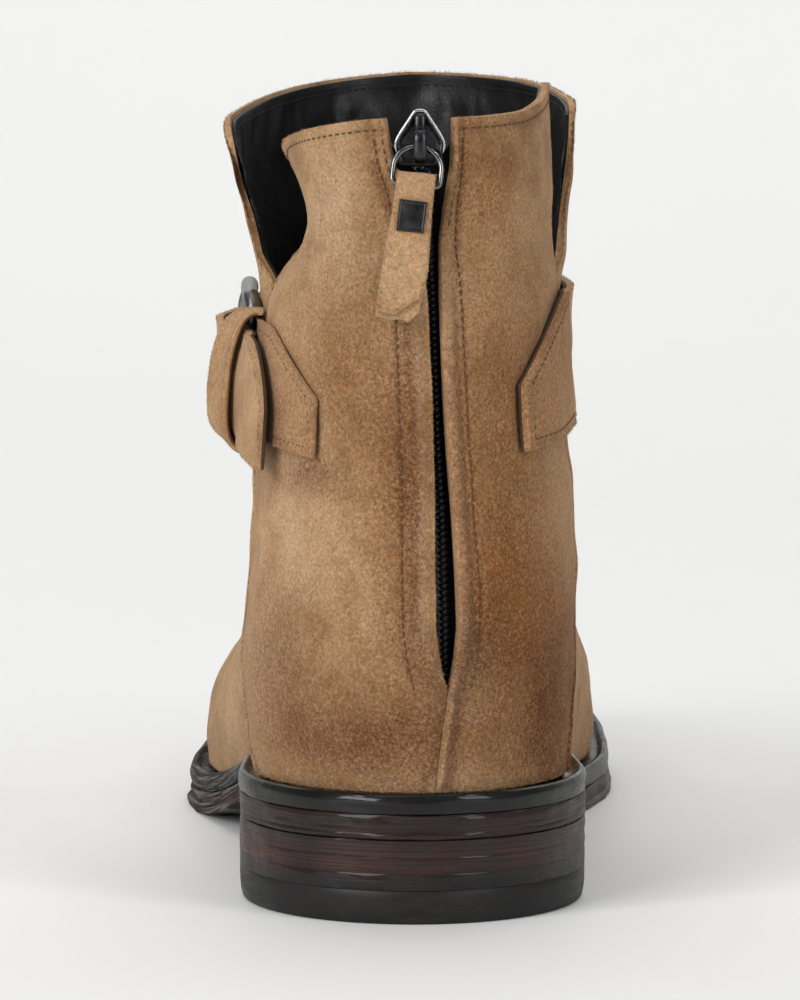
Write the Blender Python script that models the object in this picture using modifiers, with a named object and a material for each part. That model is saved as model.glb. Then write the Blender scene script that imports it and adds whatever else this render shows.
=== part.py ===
"""Suede ankle boot for the left foot: welted leather sole, stacked heel, back zip and buckled ankle strap.

Sizes are in millimetres, and MM turns them into Blender's metres. The toe points along +Y and the outer side
of the foot is at -X. The floor is Z = 0, and the origin is the middle of the heel's foot.

The upper is worked out from the last. u runs once round it: 0 at the back seam, 0.25 on the outer (lateral)
side, 0.5 at the toe or the front of the shaft, 0.75 on the inner (medial) side. t counts the levels of the
table LEVELS, from the feather line at the welt up to the collar.
"""

import math

import bmesh
import bpy
import numpy as np

MM = 0.001
GAP = 0.3

# Sole and heel, from the floor up
TOP_LIFT = 7.0
HEEL_STACK = 10.5
OUTSOLE = 5.1
WELT = 4.2
HEEL_BREAST_Y = 32.0
SHANK_START_Y = 35.0
SHANK_END_Y = 130.0
BALL_END_Y = 153.0
TOE_SPRING = 9.0
TOE_SWING = 9.0
SWING_START_Y = 60.0
BALL_SLANT = 14.0
HEEL_LIFT = TOP_LIFT + HEEL_STACK + GAP
SEAT_ABOVE_LIFT = OUTSOLE + GAP + WELT
WELT_REACH = 6.9
WELT_TUCK = 4.0
SOLE_FLARE = 0.9
INSOLE = 3.0

# Last: where the feather line starts and ends along Y
HEEL_Y = -30.5
TOE_Y = 253.5

# Upper
VAMP_WALL = 2.2
QUARTER_STEP = 1.0
PLACKET_STEP = 0.4
PLACKET_WIDTH = 7.0
SEAM_RIDGE = 0.7
FEATHER_TUCK = 1.8
FEATHER_GAP = 0.3
NECK_DENT = 8.0
NECK_Z = 146.0
STRAP_LIFT = 0.55
BELT_Z = 106.0

# Zip pull: where its hinge is, and how far it leans from the upright
PIVOT_X = 0.7
PIVOT_Y = -35.1
PIVOT_Z = 161.6
PULL_LEAN = math.radians(7.0)
TAB_FLARE = 0.22

U_HEEL = 0.16
U_BALL = 0.30
COLUMNS = ("back_y", "back_z", "front_y", "front_z", "back_round", "front_round", "lat_heel", "med_heel",
           "lat_waist", "med_waist", "lat_ball", "med_ball", "power", "follow")
TOE_SEAT = TOE_SPRING + SEAT_ABOVE_LIFT
HEEL_SEAT = HEEL_LIFT + SEAT_ABOVE_LIFT
# One row for each level of the lining, from the feather line to the collar
LEVELS = np.array([
    (HEEL_Y, HEEL_SEAT + GAP, TOE_Y, TOE_SEAT + GAP, 36, 104,
     31.0, 30.2, 31.0, 25.0, 47.2, 39.8, 2.25, 1.00),
    (-32.5, 36, 256, 27.5, 38, 104, 33.2, 30.8, 34.5, 28.5, 47.8, 40.3, 2.25, 0.95),
    (-33.6, 45, 254, 36.0, 40, 104, 33.4, 31.0, 35.6, 31.5, 45.6, 39.4, 2.20, 0.85),
    (-34.0, 54, 238, 45.0, 42, 100, 33.5, 31.2, 34.9, 32.5, 39.2, 36.9, 2.10, 0.70),
    (-33.5, 63.5, 203, 55, 44, 95, 32.7, 31.6, 33.2, 32.8, 33.2, 34.2, 2.00, 0.50),
    (-32.3, 74, 162, 69, 46, 88, 32.0, 31.6, 32.2, 32.4, 31.6, 33.0, 2.00, 0.30),
    (-31.0, 86, 128, 86.5, 47, 78, 31.1, 31.2, 31.3, 31.6, 31.0, 31.8, 2.00, 0.12),
    (-30.0, 100, 103, 105, 47, 68, 30.0, 28.8, 30.3, 29.6, 30.6, 30.2, 2.00, 0.00),
    (-29.5, 116, 88, 123, 46, 62, 28.8, 27.8, 29.3, 28.4, 30.0, 29.0, 2.00, 0.00),
    (-29.7, 133, 81, 141, 45, 58, 27.8, 27.6, 29.0, 29.0, 32.0, 30.4, 2.00, 0.00),
    (-30.2, 150, 79, 158, 45, 57, 27.6, 27.2, 31.0, 30.0, 36.5, 32.2, 2.00, 0.00),
    (-30.6, 167.5, 79, 175.5, 45, 57, 29.2, 26.6, 33.0, 30.5, 42.0, 33.0, 2.00, 0.00),
], float)
TOP = len(LEVELS) - 1
SLOT_FOOT = 8.35
ZIP_FOOT = 2.5

# How far the collar's edge lies below the top level, by u
COLLAR_DROP = np.array([
    (0.00, 0.0), (0.02, 0.2), (0.038, 1.2), (0.074, 4.0), (0.115, 7.2), (0.14, 9.6), (0.155, 11.5),
    (0.25, 11.5), (0.29, 9.5),
    (0.315, 7.5), (0.36, 6.0), (0.42, 3.0), (0.50, 0.0), (0.60, 0.3), (0.68, 2.5),
    (0.72, 5.0), (0.74, 7.0), (0.845, -3.5), (0.87, -1.5), (0.91, 0.3), (1.00, 0.0),
])
# Half the zip's opening and how far the zip wanders to the inner side, by height
ZIP_LINE = np.array([
    (27, 0.0, 3.6), (49, 0.0, 6.4), (52, 0.9, 6.4), (56, 1.7, 6.3), (62, 2.3, 6.1), (74, 2.1, 5.6),
    (90, 1.6, 5.0), (110, 1.2, 4.2),
    (130, 1.2, 3.3), (142, 1.8, 2.6), (150, 3.4, 2.0), (158, 5.6, 1.4), (170, 7.0, 0.7),
])

SUEDE = ((0.30, 0.19, 0.10), 0.95, 0.0)
LEATHER_DARK = ((0.035, 0.024, 0.02), 0.45, 0.0)
RUBBER = ((0.02, 0.02, 0.02), 0.7, 0.0)
GUNMETAL = ((0.10, 0.10, 0.11), 0.3, 1.0)
TAPE = ((0.012, 0.012, 0.013), 0.8, 0.0)
INSOLE_TAN = ((0.03, 0.028, 0.027), 0.6, 0.0)


def smooth(value, start, end):
    """0 before start, 1 after end, an S-curve between them."""
    share = np.clip((np.asarray(value, float) - start) / (end - start), 0, 1)
    return share * share * (3 - 2 * share)


def smooth_row(rows, at):
    """The rows of a table read at a fractional row number, on a curve through every row."""
    at = np.clip(np.asarray(at, float), 0, len(rows) - 1)
    low = np.minimum(at.astype(int), len(rows) - 2)
    share = (at - low)[..., None]
    before = rows[np.maximum(low - 1, 0)]
    first, second = rows[low], rows[low + 1]
    after = rows[np.minimum(low + 2, len(rows) - 1)]
    slope_first, slope_second = (second - before) / 2, (after - first) / 2
    square, cube = share**2, share**3
    return ((2 * cube - 3 * square + 1) * first + (cube - 2 * square + share) * slope_first
            + (3 * square - 2 * cube) * second + (cube - square) * slope_second)


def lift(y):
    """Height of the outsole's underside: level under the heel, down the shank to the ball, up at the toe."""
    shank = HEEL_LIFT * (1 - smooth(y, SHANK_START_Y, SHANK_END_Y))
    toe = TOE_SPRING * (np.maximum(np.asarray(y, float) - BALL_END_Y, 0) / (TOE_Y - BALL_END_Y)) ** 1.6
    return shank + toe


def seat(y):
    """Height of the welt's top, on which the upper stands."""
    return lift(y) + SEAT_ABOVE_LIFT


def lining(u, t):
    """Points of the lining's surface, the inner face of the upper."""
    u, t = np.broadcast_arrays(np.asarray(u, float), np.asarray(t, float))
    turn = (u + 0.5) % 1 - 0.5
    v, lateral = np.abs(turn), turn >= 0
    level = dict(zip(COLUMNS, np.moveaxis(smooth_row(LEVELS, t), -1, 0)))
    heel, waist, ball = (np.where(lateral, level["lat_" + part], level["med_" + part])
                         for part in ("heel", "waist", "ball"))
    heel_end = level["back_y"] + level["back_round"]
    front_round = level["front_round"] - BALL_SLANT * level["follow"] * ~lateral
    toe_start = level["front_y"] - front_round

    heel_turn = np.clip(v / U_HEEL, 0, 1) * math.pi / 2
    side = np.clip((v - U_HEEL) / (U_BALL - U_HEEL), 0, 1)
    toe_turn = np.clip((0.5 - v) / (0.5 - U_BALL), 0, 1) * math.pi / 2
    power = 2 / level["power"]
    y = np.where(v < U_HEEL, heel_end - level["back_round"] * np.cos(heel_turn),
                 np.where(v < U_BALL, heel_end + side * (toe_start - heel_end),
                          toe_start + front_round * np.maximum(np.cos(toe_turn), 0) ** power))
    swell = 16 * (side * (1 - side)) ** 2 * (waist - (heel + ball) / 2)
    width = np.where(v < U_HEEL, heel * np.sin(heel_turn),
                     np.where(v < U_BALL, heel + (ball - heel) * smooth(side, 0, 1) + swell,
                              ball * np.sin(toe_turn) ** power))
    along = (y - level["back_y"]) / (level["front_y"] - level["back_y"])
    chord = HEEL_SEAT + (TOE_SEAT - HEEL_SEAT) * (y - HEEL_Y) / (TOE_Y - HEEL_Y)
    z = level["back_z"] + (level["front_z"] - level["back_z"]) * along + level["follow"] * (seat(y) - chord)
    dent = NECK_DENT * np.exp(-((z - NECK_Z) / 13) ** 2 - ((v - 0.155) / 0.055) ** 2)
    dent *= smooth(z, 123, 137) * lateral
    swing = TOE_SWING * (np.maximum(y - SWING_START_Y, 0) / (TOE_Y - SWING_START_Y)) ** 2
    return np.stack([np.where(lateral, dent - width, width) + swing, y, z], axis=-1)


def outward(u, t):
    """Unit vectors square to the lining, pointing away from the foot."""
    u, t = np.broadcast_arrays(np.asarray(u, float), np.asarray(t, float))
    step = 1e-3
    low, high = np.clip(t - step, 0, TOP), np.clip(t + step, 0, TOP)
    across = lining(u + step, t) - lining(u - step, t)
    normal = np.cross(lining(u, high) - lining(u, low), across)
    return normal / np.linalg.norm(normal, axis=-1, keepdims=True)


def level_at(u, z):
    """The level t at which the lining has that height."""
    u, z = np.broadcast_arrays(np.asarray(u, float), np.asarray(z, float))
    levels = np.linspace(0, TOP, 221)
    found = [np.interp(height, lining(turn, levels)[:, 2], levels)
             for turn, height in zip(u.flat, z.flat)]
    return np.array(found).reshape(u.shape)


def zip_at(t):
    """Half the zip's opening and the zip's place, both as shares of u, at a level."""
    heel = smooth_row(LEVELS, t)
    z = heel[..., COLUMNS.index("back_z")]
    turn_per_mm = U_HEEL / (math.pi / 2 * heel[..., COLUMNS.index("lat_heel")])
    half = np.interp(z, ZIP_LINE[:, 0], ZIP_LINE[:, 1])
    wander = np.interp(z, ZIP_LINE[:, 0], ZIP_LINE[:, 2])
    return half * turn_per_mm, -wander * turn_per_mm, turn_per_mm


def side_seam(t):
    """Where the side seam lies: from the slot's foot down the side and back to the welt."""
    return 0.2 - 0.06 * (1 - smooth(t, 0, SLOT_FOOT))


def quarter_edge(t, lateral):
    """Where a quarter's front edge lies: on the side seam, and set back above the slot's foot."""
    return side_seam(t) - (0.048 if lateral else 0.040) * smooth(t, SLOT_FOOT, 9.3)


def vamp_edge(t, lateral):
    """Where the vamp's back edge shows: beside the quarter, and forward of the slot above its foot."""
    opened = (0.085 if lateral else 0.06) * smooth(t, SLOT_FOOT, 9.4)
    return side_seam(t) + 0.0035 + opened + 0.03 * smooth(t, TOP - 0.7, TOP + 0.2)


def wall(u, t, quarter):
    """Thickness of the upper: the quarters lie over the vamp, thicker by the zip and at the back seam."""
    half, place, turn_per_mm = zip_at(t)
    turn = (np.asarray(u, float) + 0.5) % 1 - 0.5
    from_zip = (np.abs(turn - place) - half) / turn_per_mm
    from_seam = np.abs(turn - place) / turn_per_mm
    overlap = QUARTER_STEP * (1 - 0.7 * smooth(t, SLOT_FOOT, SLOT_FOOT + 1))
    placket = PLACKET_STEP * (1 - smooth(from_zip, PLACKET_WIDTH - 1, PLACKET_WIDTH))
    placket *= np.asarray(t) > ZIP_FOOT - 0.5
    ridge = SEAM_RIDGE * (1 - smooth(from_seam, 0.3, 2.2)) * (np.asarray(t) <= ZIP_FOOT)
    return VAMP_WALL + quarter * (overlap + placket + ridge)


def skin(u, z, above):
    """Points that far above the upper's outer face, at a turn u and a height z, for what is laid on it."""
    t = level_at(u, z)
    v = np.abs((np.asarray(u, float) + 0.5) % 1 - 0.5)
    thickness = VAMP_WALL + QUARTER_STEP * (1 - smooth(v, 0.205, 0.27))
    away = outward(u, level_at(u, np.full(np.shape(u), BELT_Z)))
    return lining(u, t) + away * (thickness + np.asarray(above, float))[..., None]


# Objects

def collection(name):
    found = bpy.data.collections.new(name)
    bpy.context.scene.collection.children.link(found)
    return found


def material(name, look):
    color, roughness, metallic = look
    made = bpy.data.materials.new(name)
    made.use_nodes = True
    shader = made.node_tree.nodes["Principled BSDF"]
    shader.inputs["Base Color"].default_value = (*color, 1)
    shader.inputs["Roughness"].default_value = roughness
    shader.inputs["Metallic"].default_value = metallic
    return made


def put(name, data, look, parent=None, helper=False):
    """A new object from a mesh or a curve, in the boot's collection, or among the cutters."""
    made = bpy.data.objects.new(name, data)
    (CUTTERS if helper else BOOT).objects.link(made)
    made.parent = parent
    if helper:
        made.hide_render = True
        made.display_type = "WIRE"
    else:
        data.materials.append(material(name, look))
        if isinstance(data, bpy.types.Mesh):
            data.shade_smooth()
            data.set_sharp_from_angle(angle=math.radians(40))
    return made


def mesh_from(name, points, faces):
    """A mesh from points in millimetres and faces, with points that coincide merged."""
    work = bmesh.new()
    corners = [work.verts.new(point) for point in np.asarray(points, float).reshape(-1, 3) * MM]
    for face in faces:
        work.faces.new([corners[index] for index in face])
    bmesh.ops.remove_doubles(work, verts=work.verts, dist=0.01 * MM)
    made = bpy.data.meshes.new(name)
    work.to_mesh(made)
    work.free()
    return made


def solidify(obj, thickness, side, group=None):
    made = obj.modifiers.new("wall", "SOLIDIFY")
    made.thickness = thickness * MM
    made.offset = side
    if group:
        made.vertex_group = group
    return made


def boolean(obj, cutter, operation="DIFFERENCE"):
    made = obj.modifiers.new(operation.lower(), "BOOLEAN")
    made.operation = operation
    made.object = cutter


def sheet(name, grid, thickness, look, side=1):
    """A leather or tape sheet on a grid of points [along][across], grown to its thickness on one side."""
    along, across = grid.shape[:2]
    index = np.arange(along * across).reshape(along, across)
    faces = [(index[i, j], index[i + 1, j], index[i + 1, j + 1], index[i, j + 1])
             for i in range(along - 1) for j in range(across - 1)]
    obj = put(name, mesh_from(name, grid, faces), look)
    solidify(obj, thickness, side)
    return obj


def tube(name, path, radius, look, closed=False, parent=None, helper=False):
    """A round bar along a path of points."""
    data = bpy.data.curves.new(name, "CURVE")
    data.dimensions = "3D"
    data.bevel_depth = radius * MM
    data.bevel_resolution = 2
    data.use_fill_caps = not closed
    spline = data.splines.new("POLY")
    spline.points.add(len(path) - 1)
    for point, place in zip(spline.points, np.asarray(path, float) * MM):
        point.co = (*place, 1)
    spline.use_cyclic_u = closed
    return put(name, data, look, parent, helper)


def as_mesh(curve):
    """The curve's solid as a mesh object of the same name, so that it can cut or be cut."""
    bpy.context.view_layer.update()
    graph = bpy.context.evaluated_depsgraph_get()
    data = bpy.data.meshes.new_from_object(curve.evaluated_get(graph))
    work = bmesh.new()
    work.from_mesh(data)
    bmesh.ops.remove_doubles(work, verts=work.verts, dist=0.01 * MM)
    work.to_mesh(data)
    work.free()
    name, helper, parent, place = curve.name, curve.hide_render, curve.parent, curve.matrix_world.copy()
    bpy.data.objects.remove(curve)
    made = bpy.data.objects.new(name, data)
    (CUTTERS if helper else BOOT).objects.link(made)
    made.parent = parent
    made.matrix_world = place
    made.hide_render = helper
    made.display_type = "WIRE" if helper else "TEXTURED"
    return made


def block(name, low, high, look=None, parent=None, helper=False):
    """A box between two corners."""
    bpy.ops.mesh.primitive_cube_add(size=1)
    made = bpy.context.object
    data = made.data
    bpy.data.objects.remove(made)
    low, high = np.array(low, float) * MM, np.array(high, float) * MM
    for vertex in data.vertices:
        vertex.co = (np.array(vertex.co) + 0.5) * (high - low) + low
    data.name = name
    return put(name, data, look, parent, helper)


def plate(name, outline, thickness, look=None, holes=(), parent=None, helper=False):
    """A flat plate in the local XY plane, from an outline and any holes, centred on the plane."""
    data = bpy.data.curves.new(name, "CURVE")
    data.dimensions = "2D"
    data.fill_mode = "BOTH"
    data.extrude = thickness / 2 * MM
    for points in (outline, *holes):
        spline = data.splines.new("POLY")
        spline.points.add(len(points) - 1)
        for point, (x, y) in zip(spline.points, np.asarray(points, float) * MM):
            point.co = (x, y, 0, 1)
        spline.use_cyclic_u = True
    return put(name, data, look, parent, helper)


# Upper

def build_upper():
    """One hollow wall: two quarters over a vamp with a tall flap, open at zip, slots, collar and foot."""
    quarter_shares = np.concatenate([[0, 0.1, 0.16], np.linspace(0.22, 0.8, 5)[:-1], np.linspace(0.8, 1, 5)])
    quarter_columns = len(quarter_shares)
    vamp_shares = np.concatenate([np.linspace(0, 0.17, 12)[:-1], np.linspace(0.17, 0.5, 9)])
    vamp_shares = np.concatenate([vamp_shares, 1 - vamp_shares[-2::-1]])
    vamp_columns = len(vamp_shares)
    below = np.concatenate([np.arange(0, 5.01, 0.5), [5.6, 6.2, 6.8, 7.4, 8.0, SLOT_FOOT]])
    above = np.array([8.65, 9.0, 9.4, 9.9, 10.45, TOP])
    points, walls, rows = [], [], np.concatenate([below, above])
    for t in rows:
        half, place, _ = zip_at(t)
        turns = np.concatenate([
            place + half + quarter_shares * (quarter_edge(t, True) - place - half),
            vamp_edge(t, True) + vamp_shares * (1 - vamp_edge(t, False) - vamp_edge(t, True)),
            1 + place - half - quarter_shares[::-1] * (quarter_edge(t, False) + place - half)])
        quarter = np.ones(len(turns))
        quarter[quarter_columns:-quarter_columns] = 0
        drop = np.interp(turns % 1, COLLAR_DROP[:, 0], COLLAR_DROP[:, 1]) / (LEVELS[-1] - LEVELS[-2])[1]
        levels = np.full(len(turns), t)
        levels -= drop * smooth(t, SLOT_FOOT, TOP)
        rise = (LEVELS[-1] - LEVELS[-2])[1]
        over = np.maximum(levels - TOP, 0)[:, None] * rise * np.array([0, 0, 1])
        thickness = wall(turns, levels, quarter)
        if t == 0:
            dip = np.maximum(-outward(turns, 0.25)[:, 2], 0)
            over[:, 2] = FEATHER_GAP + FEATHER_TUCK * dip * thickness
        points.append(lining(turns, np.minimum(levels, TOP)) + over)
        walls.append(thickness)
    points, walls = np.array(points), np.array(walls)
    count = points.shape[1]
    index = np.arange(points.shape[0] * count).reshape(-1, count)
    faces = []
    for i in range(len(rows) - 1):
        slit = {count - 1} if rows[i] >= ZIP_FOOT else set()
        slots = {quarter_columns - 1, quarter_columns + vamp_columns - 1}
        if rows[i] < SLOT_FOOT:
            slots = set()
        for j in range(count):
            k = (j + 1) % count
            joined_seam = j == count - 1 and rows[i] < ZIP_FOOT
            if j not in slit | slots and not joined_seam:
                faces.append((index[i, j], index[i + 1, j], index[i + 1, k], index[i, k]))
    thickest = walls.max()
    work = bpy.data.meshes.new("upper")
    work.from_pydata((points.reshape(-1, 3) * MM).tolist(), [], faces)
    obj = put("upper", work, SUEDE)
    group = obj.vertex_groups.new(name="wall")
    for number, weight in enumerate((walls / thickest).ravel()):
        group.add([number], float(weight), "REPLACE")
    weld = obj.modifiers.new("seam", "WELD")
    weld.merge_threshold = 0.01 * MM
    solidify(obj, thickest, 1, "wall")


# Sole

def turn_at(y, out=0):
    """The turn at which the sole's plan, moved outwards, reaches that y."""
    sides = np.linspace(0, U_BALL, 400)
    return np.interp(y, plan(sides, out)[:, 1], sides)


def plan_turns(heel=9, side=13, toe=11):
    """Turns round the sole from the toe's inner side by the heel to its outer side."""
    breast = turn_at(SHANK_START_Y)
    lateral = np.concatenate([
        np.linspace(0, U_HEEL, heel)[1:], [breast], np.linspace(breast, U_BALL, side)[1:],
        np.linspace(U_BALL, 0.5, toe)[1:-1], [0.494]])
    sides = np.linspace(0, 0.5, 800)
    medial = np.interp(lining(lateral, 0)[:, 1], lining(-sides, 0)[:, 1], sides)
    return np.concatenate([-medial[::-1], [0], lateral])


def plan(turns, out):
    """The feather line seen from above, moved outwards."""
    step = 1e-3
    here = lining(turns, 0)[:, :2]
    along = lining(turns + step, 0)[:, :2] - lining(turns - step, 0)[:, :2]
    away = np.stack([-along[:, 1], along[:, 0]], axis=-1)
    return here + away / np.linalg.norm(away, axis=-1, keepdims=True) * np.reshape(out, (-1, 1))


def loops(turns, profile):
    """A loop of points for each step of an edge's profile: how far out, and how high at each y."""
    made = []
    for out, height in profile:
        flat = plan(turns, out(plan(turns, 0)[:, 1]) if callable(out) else out)
        made.append(np.column_stack([flat, height(flat[:, 1])]))
    return np.array(made)


def stack(name, rings, look):
    """A solid from loops laid one over another, closed below and above by strips from side to side."""
    layers, count = rings.shape[:2]
    index = np.arange(layers * count).reshape(layers, count)
    faces = [(index[i, j], index[i, (j + 1) % count], index[i + 1, (j + 1) % count], index[i + 1, j])
             for i in range(layers - 1) for j in range(count)]
    for ring, turned in ((index[0], True), (index[-1], False)):
        for j in range(count // 2):
            corners = list(dict.fromkeys([ring[j], ring[j + 1], ring[count - 2 - j], ring[count - 1 - j]]))
            if len(corners) > 2:
                faces.append(corners[::-1] if turned else corners)
    data = mesh_from(name, rings, faces)
    return put(name, face_out(data), look)


def ring(name, rings, look):
    """A closed band: the loops are the corners of its section, in order round it."""
    layers, count = rings.shape[:2]
    index = np.arange(layers * count).reshape(layers, count)
    above, beside = np.roll(index, -1, axis=0), np.roll(index, -1, axis=1)
    corner = np.roll(above, -1, axis=1)
    faces = [(index[i, j], beside[i, j], corner[i, j], above[i, j])
             for i in range(layers) for j in range(count)]
    return put(name, face_out(mesh_from(name, rings, faces)), look)


def face_out(data):
    work = bmesh.new()
    work.from_mesh(data)
    bmesh.ops.recalc_face_normals(work, faces=work.faces)
    work.to_mesh(data)
    work.free()
    return data


def over_lift(height):
    return lambda y: lift(y) + height


def at_height(height):
    return lambda y: np.full_like(y, height)


def build_sole():
    turns = plan_turns()
    welt_foot = OUTSOLE + GAP

    def flared(out):
        return lambda y: out + SOLE_FLARE * smooth(y, HEEL_BREAST_Y, HEEL_BREAST_Y + 25)

    stack("outsole", loops(turns, [
        (flared(WELT_REACH - 1.6), over_lift(0)),
        (flared(WELT_REACH - 0.3), over_lift(0.5)),
        (flared(WELT_REACH - 0.2), over_lift(1.4)),
        (WELT_REACH - 0.2, over_lift(3.0)),
        (WELT_REACH - 0.6, over_lift(OUTSOLE - 0.4)),
        (WELT_REACH - 1.1, over_lift(OUTSOLE))]), LEATHER_DARK)
    ring("welt", loops(turns, [
        (-WELT_TUCK, over_lift(welt_foot)),
        (WELT_REACH - 1.1, over_lift(welt_foot)),
        (WELT_REACH - 0.2, over_lift(welt_foot + 0.9)),
        (WELT_REACH, over_lift(welt_foot + 2.2)),
        (WELT_REACH - 0.3, over_lift(welt_foot + 3.5)),
        (WELT_REACH - 1.2, over_lift(welt_foot + WELT)),
        (-WELT_TUCK, over_lift(welt_foot + WELT))]), LEATHER_DARK)
    stack("insole", loops(turns, [
        (-WELT_TUCK - 0.4, over_lift(OUTSOLE + GAP)),
        (-WELT_TUCK - 0.4, over_lift(SEAT_ABOVE_LIFT + GAP)),
        (-1.1, over_lift(SEAT_ABOVE_LIFT + GAP)),
        (-1.1, over_lift(SEAT_ABOVE_LIFT + GAP + INSOLE - 0.6)),
        (-1.9, over_lift(SEAT_ABOVE_LIFT + GAP + INSOLE))]), INSOLE_TAN)


def build_heel():
    """The stacked lifts with their grooves, over a rubber top lift."""
    last = turn_at(HEEL_BREAST_Y, WELT_REACH)
    turns = np.linspace(-last, last, 27)
    reach = WELT_REACH - 0.7
    groove = 0.35
    layer = HEEL_STACK - GAP
    heights = [(0.0, reach - 0.3)]
    for number in range(1, 3):
        middle = layer * number / 3
        heights += [(middle - 0.5, reach), (middle, reach - groove), (middle + 0.5, reach)]
    heights.append((layer, reach + 0.1))
    stack("heel_stack", loops(turns, [(out, at_height(TOP_LIFT + GAP + height)) for height, out in heights]),
          LEATHER_DARK)
    stack("top_lift", loops(turns, [
        (reach - 1.3, at_height(0)), (reach - 0.5, at_height(0.7)), (reach - 0.1, at_height(2.5)),
        (reach - 0.1, at_height(TOP_LIFT))]), RUBBER)


# Strap and buckle

STRAP = 2.4
TAB = 1.3
BAR = 1.8
BAR_U = 0.255
BUCKLE_LENGTH = 21.0
SIDE_MM_PER_TURN = 82.0
FRONT_MM_PER_TURN = 490.0
# Strap from its sewn end on the inner side, round the front, through the buckle to its tip
STRAP_ROWS = np.array([  # u, above the upper, lower edge, upper edge
    (0.928, STRAP_LIFT, 97.4, 111.3), (0.908, STRAP_LIFT, 98.2, 118.2), (0.883, STRAP_LIFT, 99.2, 125.2),
    (0.862, STRAP_LIFT, 100.2, 128.4), (0.82, STRAP_LIFT, 101.2, 129.4), (0.74, STRAP_LIFT, 102.0, 129.4),
    (0.66, STRAP_LIFT, 104.0, 130.4), (0.58, STRAP_LIFT, 106.2, 131.8), (0.50, STRAP_LIFT, 107.4, 132.4),
    (0.43, STRAP_LIFT, 106.8, 131.4), (0.38, STRAP_LIFT, 105.0, 129.4), (0.345, STRAP_LIFT, 102.4, 126.8),
    (0.322, 1.3, 100.8, 125.1), (0.307, 4.6, 99.9, 124.2), (0.292, 7.2, 99.2, 123.5),
    (0.272, 8.1, 98.8, 123.0), (0.248, 8.1, 98.3, 122.5), (0.225, 7.2, 98.0, 122.2),
    (0.20, 6.0, 97.5, 121.6), (0.175, 4.9, 97.0, 121.1),
    (0.16, 4.2, 96.6, 120.7), (0.15, 3.4, 96.1, 119.8), (0.14, 3.1, 95.5, 117.4), (0.122, 3.1, 94.2, 111.0),
    (0.1025, 3.3, 92.4, 103.4),
])
TAB_FACE = STRAP_LIFT + TAB
FOLD = (100.4, 121.4)
BAR_LIFT = TAB_FACE + GAP + BAR
# Buckle tab from its sewn end on the outer side to the buckle's bar
TAB_ROWS = np.array([
    (0.0647, TAB_FACE, 96.1, 108.6), (0.085, TAB_FACE, 97.0, 114.5), (0.11, TAB_FACE, 98.0, 121.0),
    (0.126, TAB_FACE, 98.4, 122.8), (0.16, TAB_FACE, 98.9, 123.0), (0.20, TAB_FACE, 99.3, 123.2),
    (0.23, TAB_FACE, 99.7, 122.9), (BAR_U, TAB_FACE, *FOLD),
])
KEEPER = 1.5
KEEPER_TURNS = (0.151, 0.164, 0.185, 0.206, 0.226)
KEEPER_HIGH = 123.9


def bent(rows, pieces, across=5):
    """A grid of points on a band whose rows give turn, height above the upper, and lower and upper edge."""
    fine = smooth_row(rows, np.linspace(0, len(rows) - 1, 30 * len(rows)))
    middle = skin(fine[:, 0], (fine[:, 2] + fine[:, 3]) / 2, fine[:, 1])
    walked = np.concatenate([[0], np.cumsum(np.linalg.norm(np.diff(middle, axis=0), axis=1))])
    steps = np.linspace(0, walked[-1], pieces)
    u, above, low, high = (np.interp(steps, walked, column)[:, None] for column in fine.T)
    z = low + (high - low) * np.linspace(0, 1, across)
    return skin(np.repeat(u, across, axis=1), z, np.repeat(above, across, axis=1))


def buckle_height(u):
    """Middle of the strap where it passes the buckle."""
    rows = STRAP_ROWS[::-1]
    return (np.interp(u, rows[:, 0], rows[:, 2]) + np.interp(u, rows[:, 0], rows[:, 3])) / 2


def buckle_turn(forward):
    """The turn u that far forward of the buckle's bar along the boot's side."""
    side = (U_BALL - BAR_U) * SIDE_MM_PER_TURN
    forward = np.asarray(forward, float)
    beside = BAR_U + forward / SIDE_MM_PER_TURN
    ahead = U_BALL + (forward - side) / FRONT_MM_PER_TURN
    return np.where(forward < side, beside, ahead)


def buckle_path():
    """The frame's centre line: two upright bars and two level ones, with round corners."""
    half_height, corner, half_length = 15.6, 4.0, BUCKLE_LENGTH / 2
    front_lift = STRAP_LIFT + STRAP + GAP + BAR + 0.5
    places = []
    for ahead, up, start in ((1, 1, 0), (-1, 1, 90), (-1, -1, 180), (1, -1, 270)):
        for angle in np.radians(np.linspace(0, 90, 5) + start):
            places.append((ahead * (half_length - corner) + corner * math.cos(angle),
                           up * (half_height - corner) + corner * math.sin(angle)))
        if ahead * up < 0:
            rises = (half_height - corner) * np.array([-0.5, 0, 0.5]) * ahead
            places += [(ahead * half_length, rise) for rise in rises]
    forward, rise = np.array(places).T
    u = buckle_turn(forward + half_length)
    above = BAR_LIFT + (front_lift - BAR_LIFT) * smooth(forward, -half_length, half_length)
    return skin(u, buckle_height(u) + rise, above)


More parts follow.
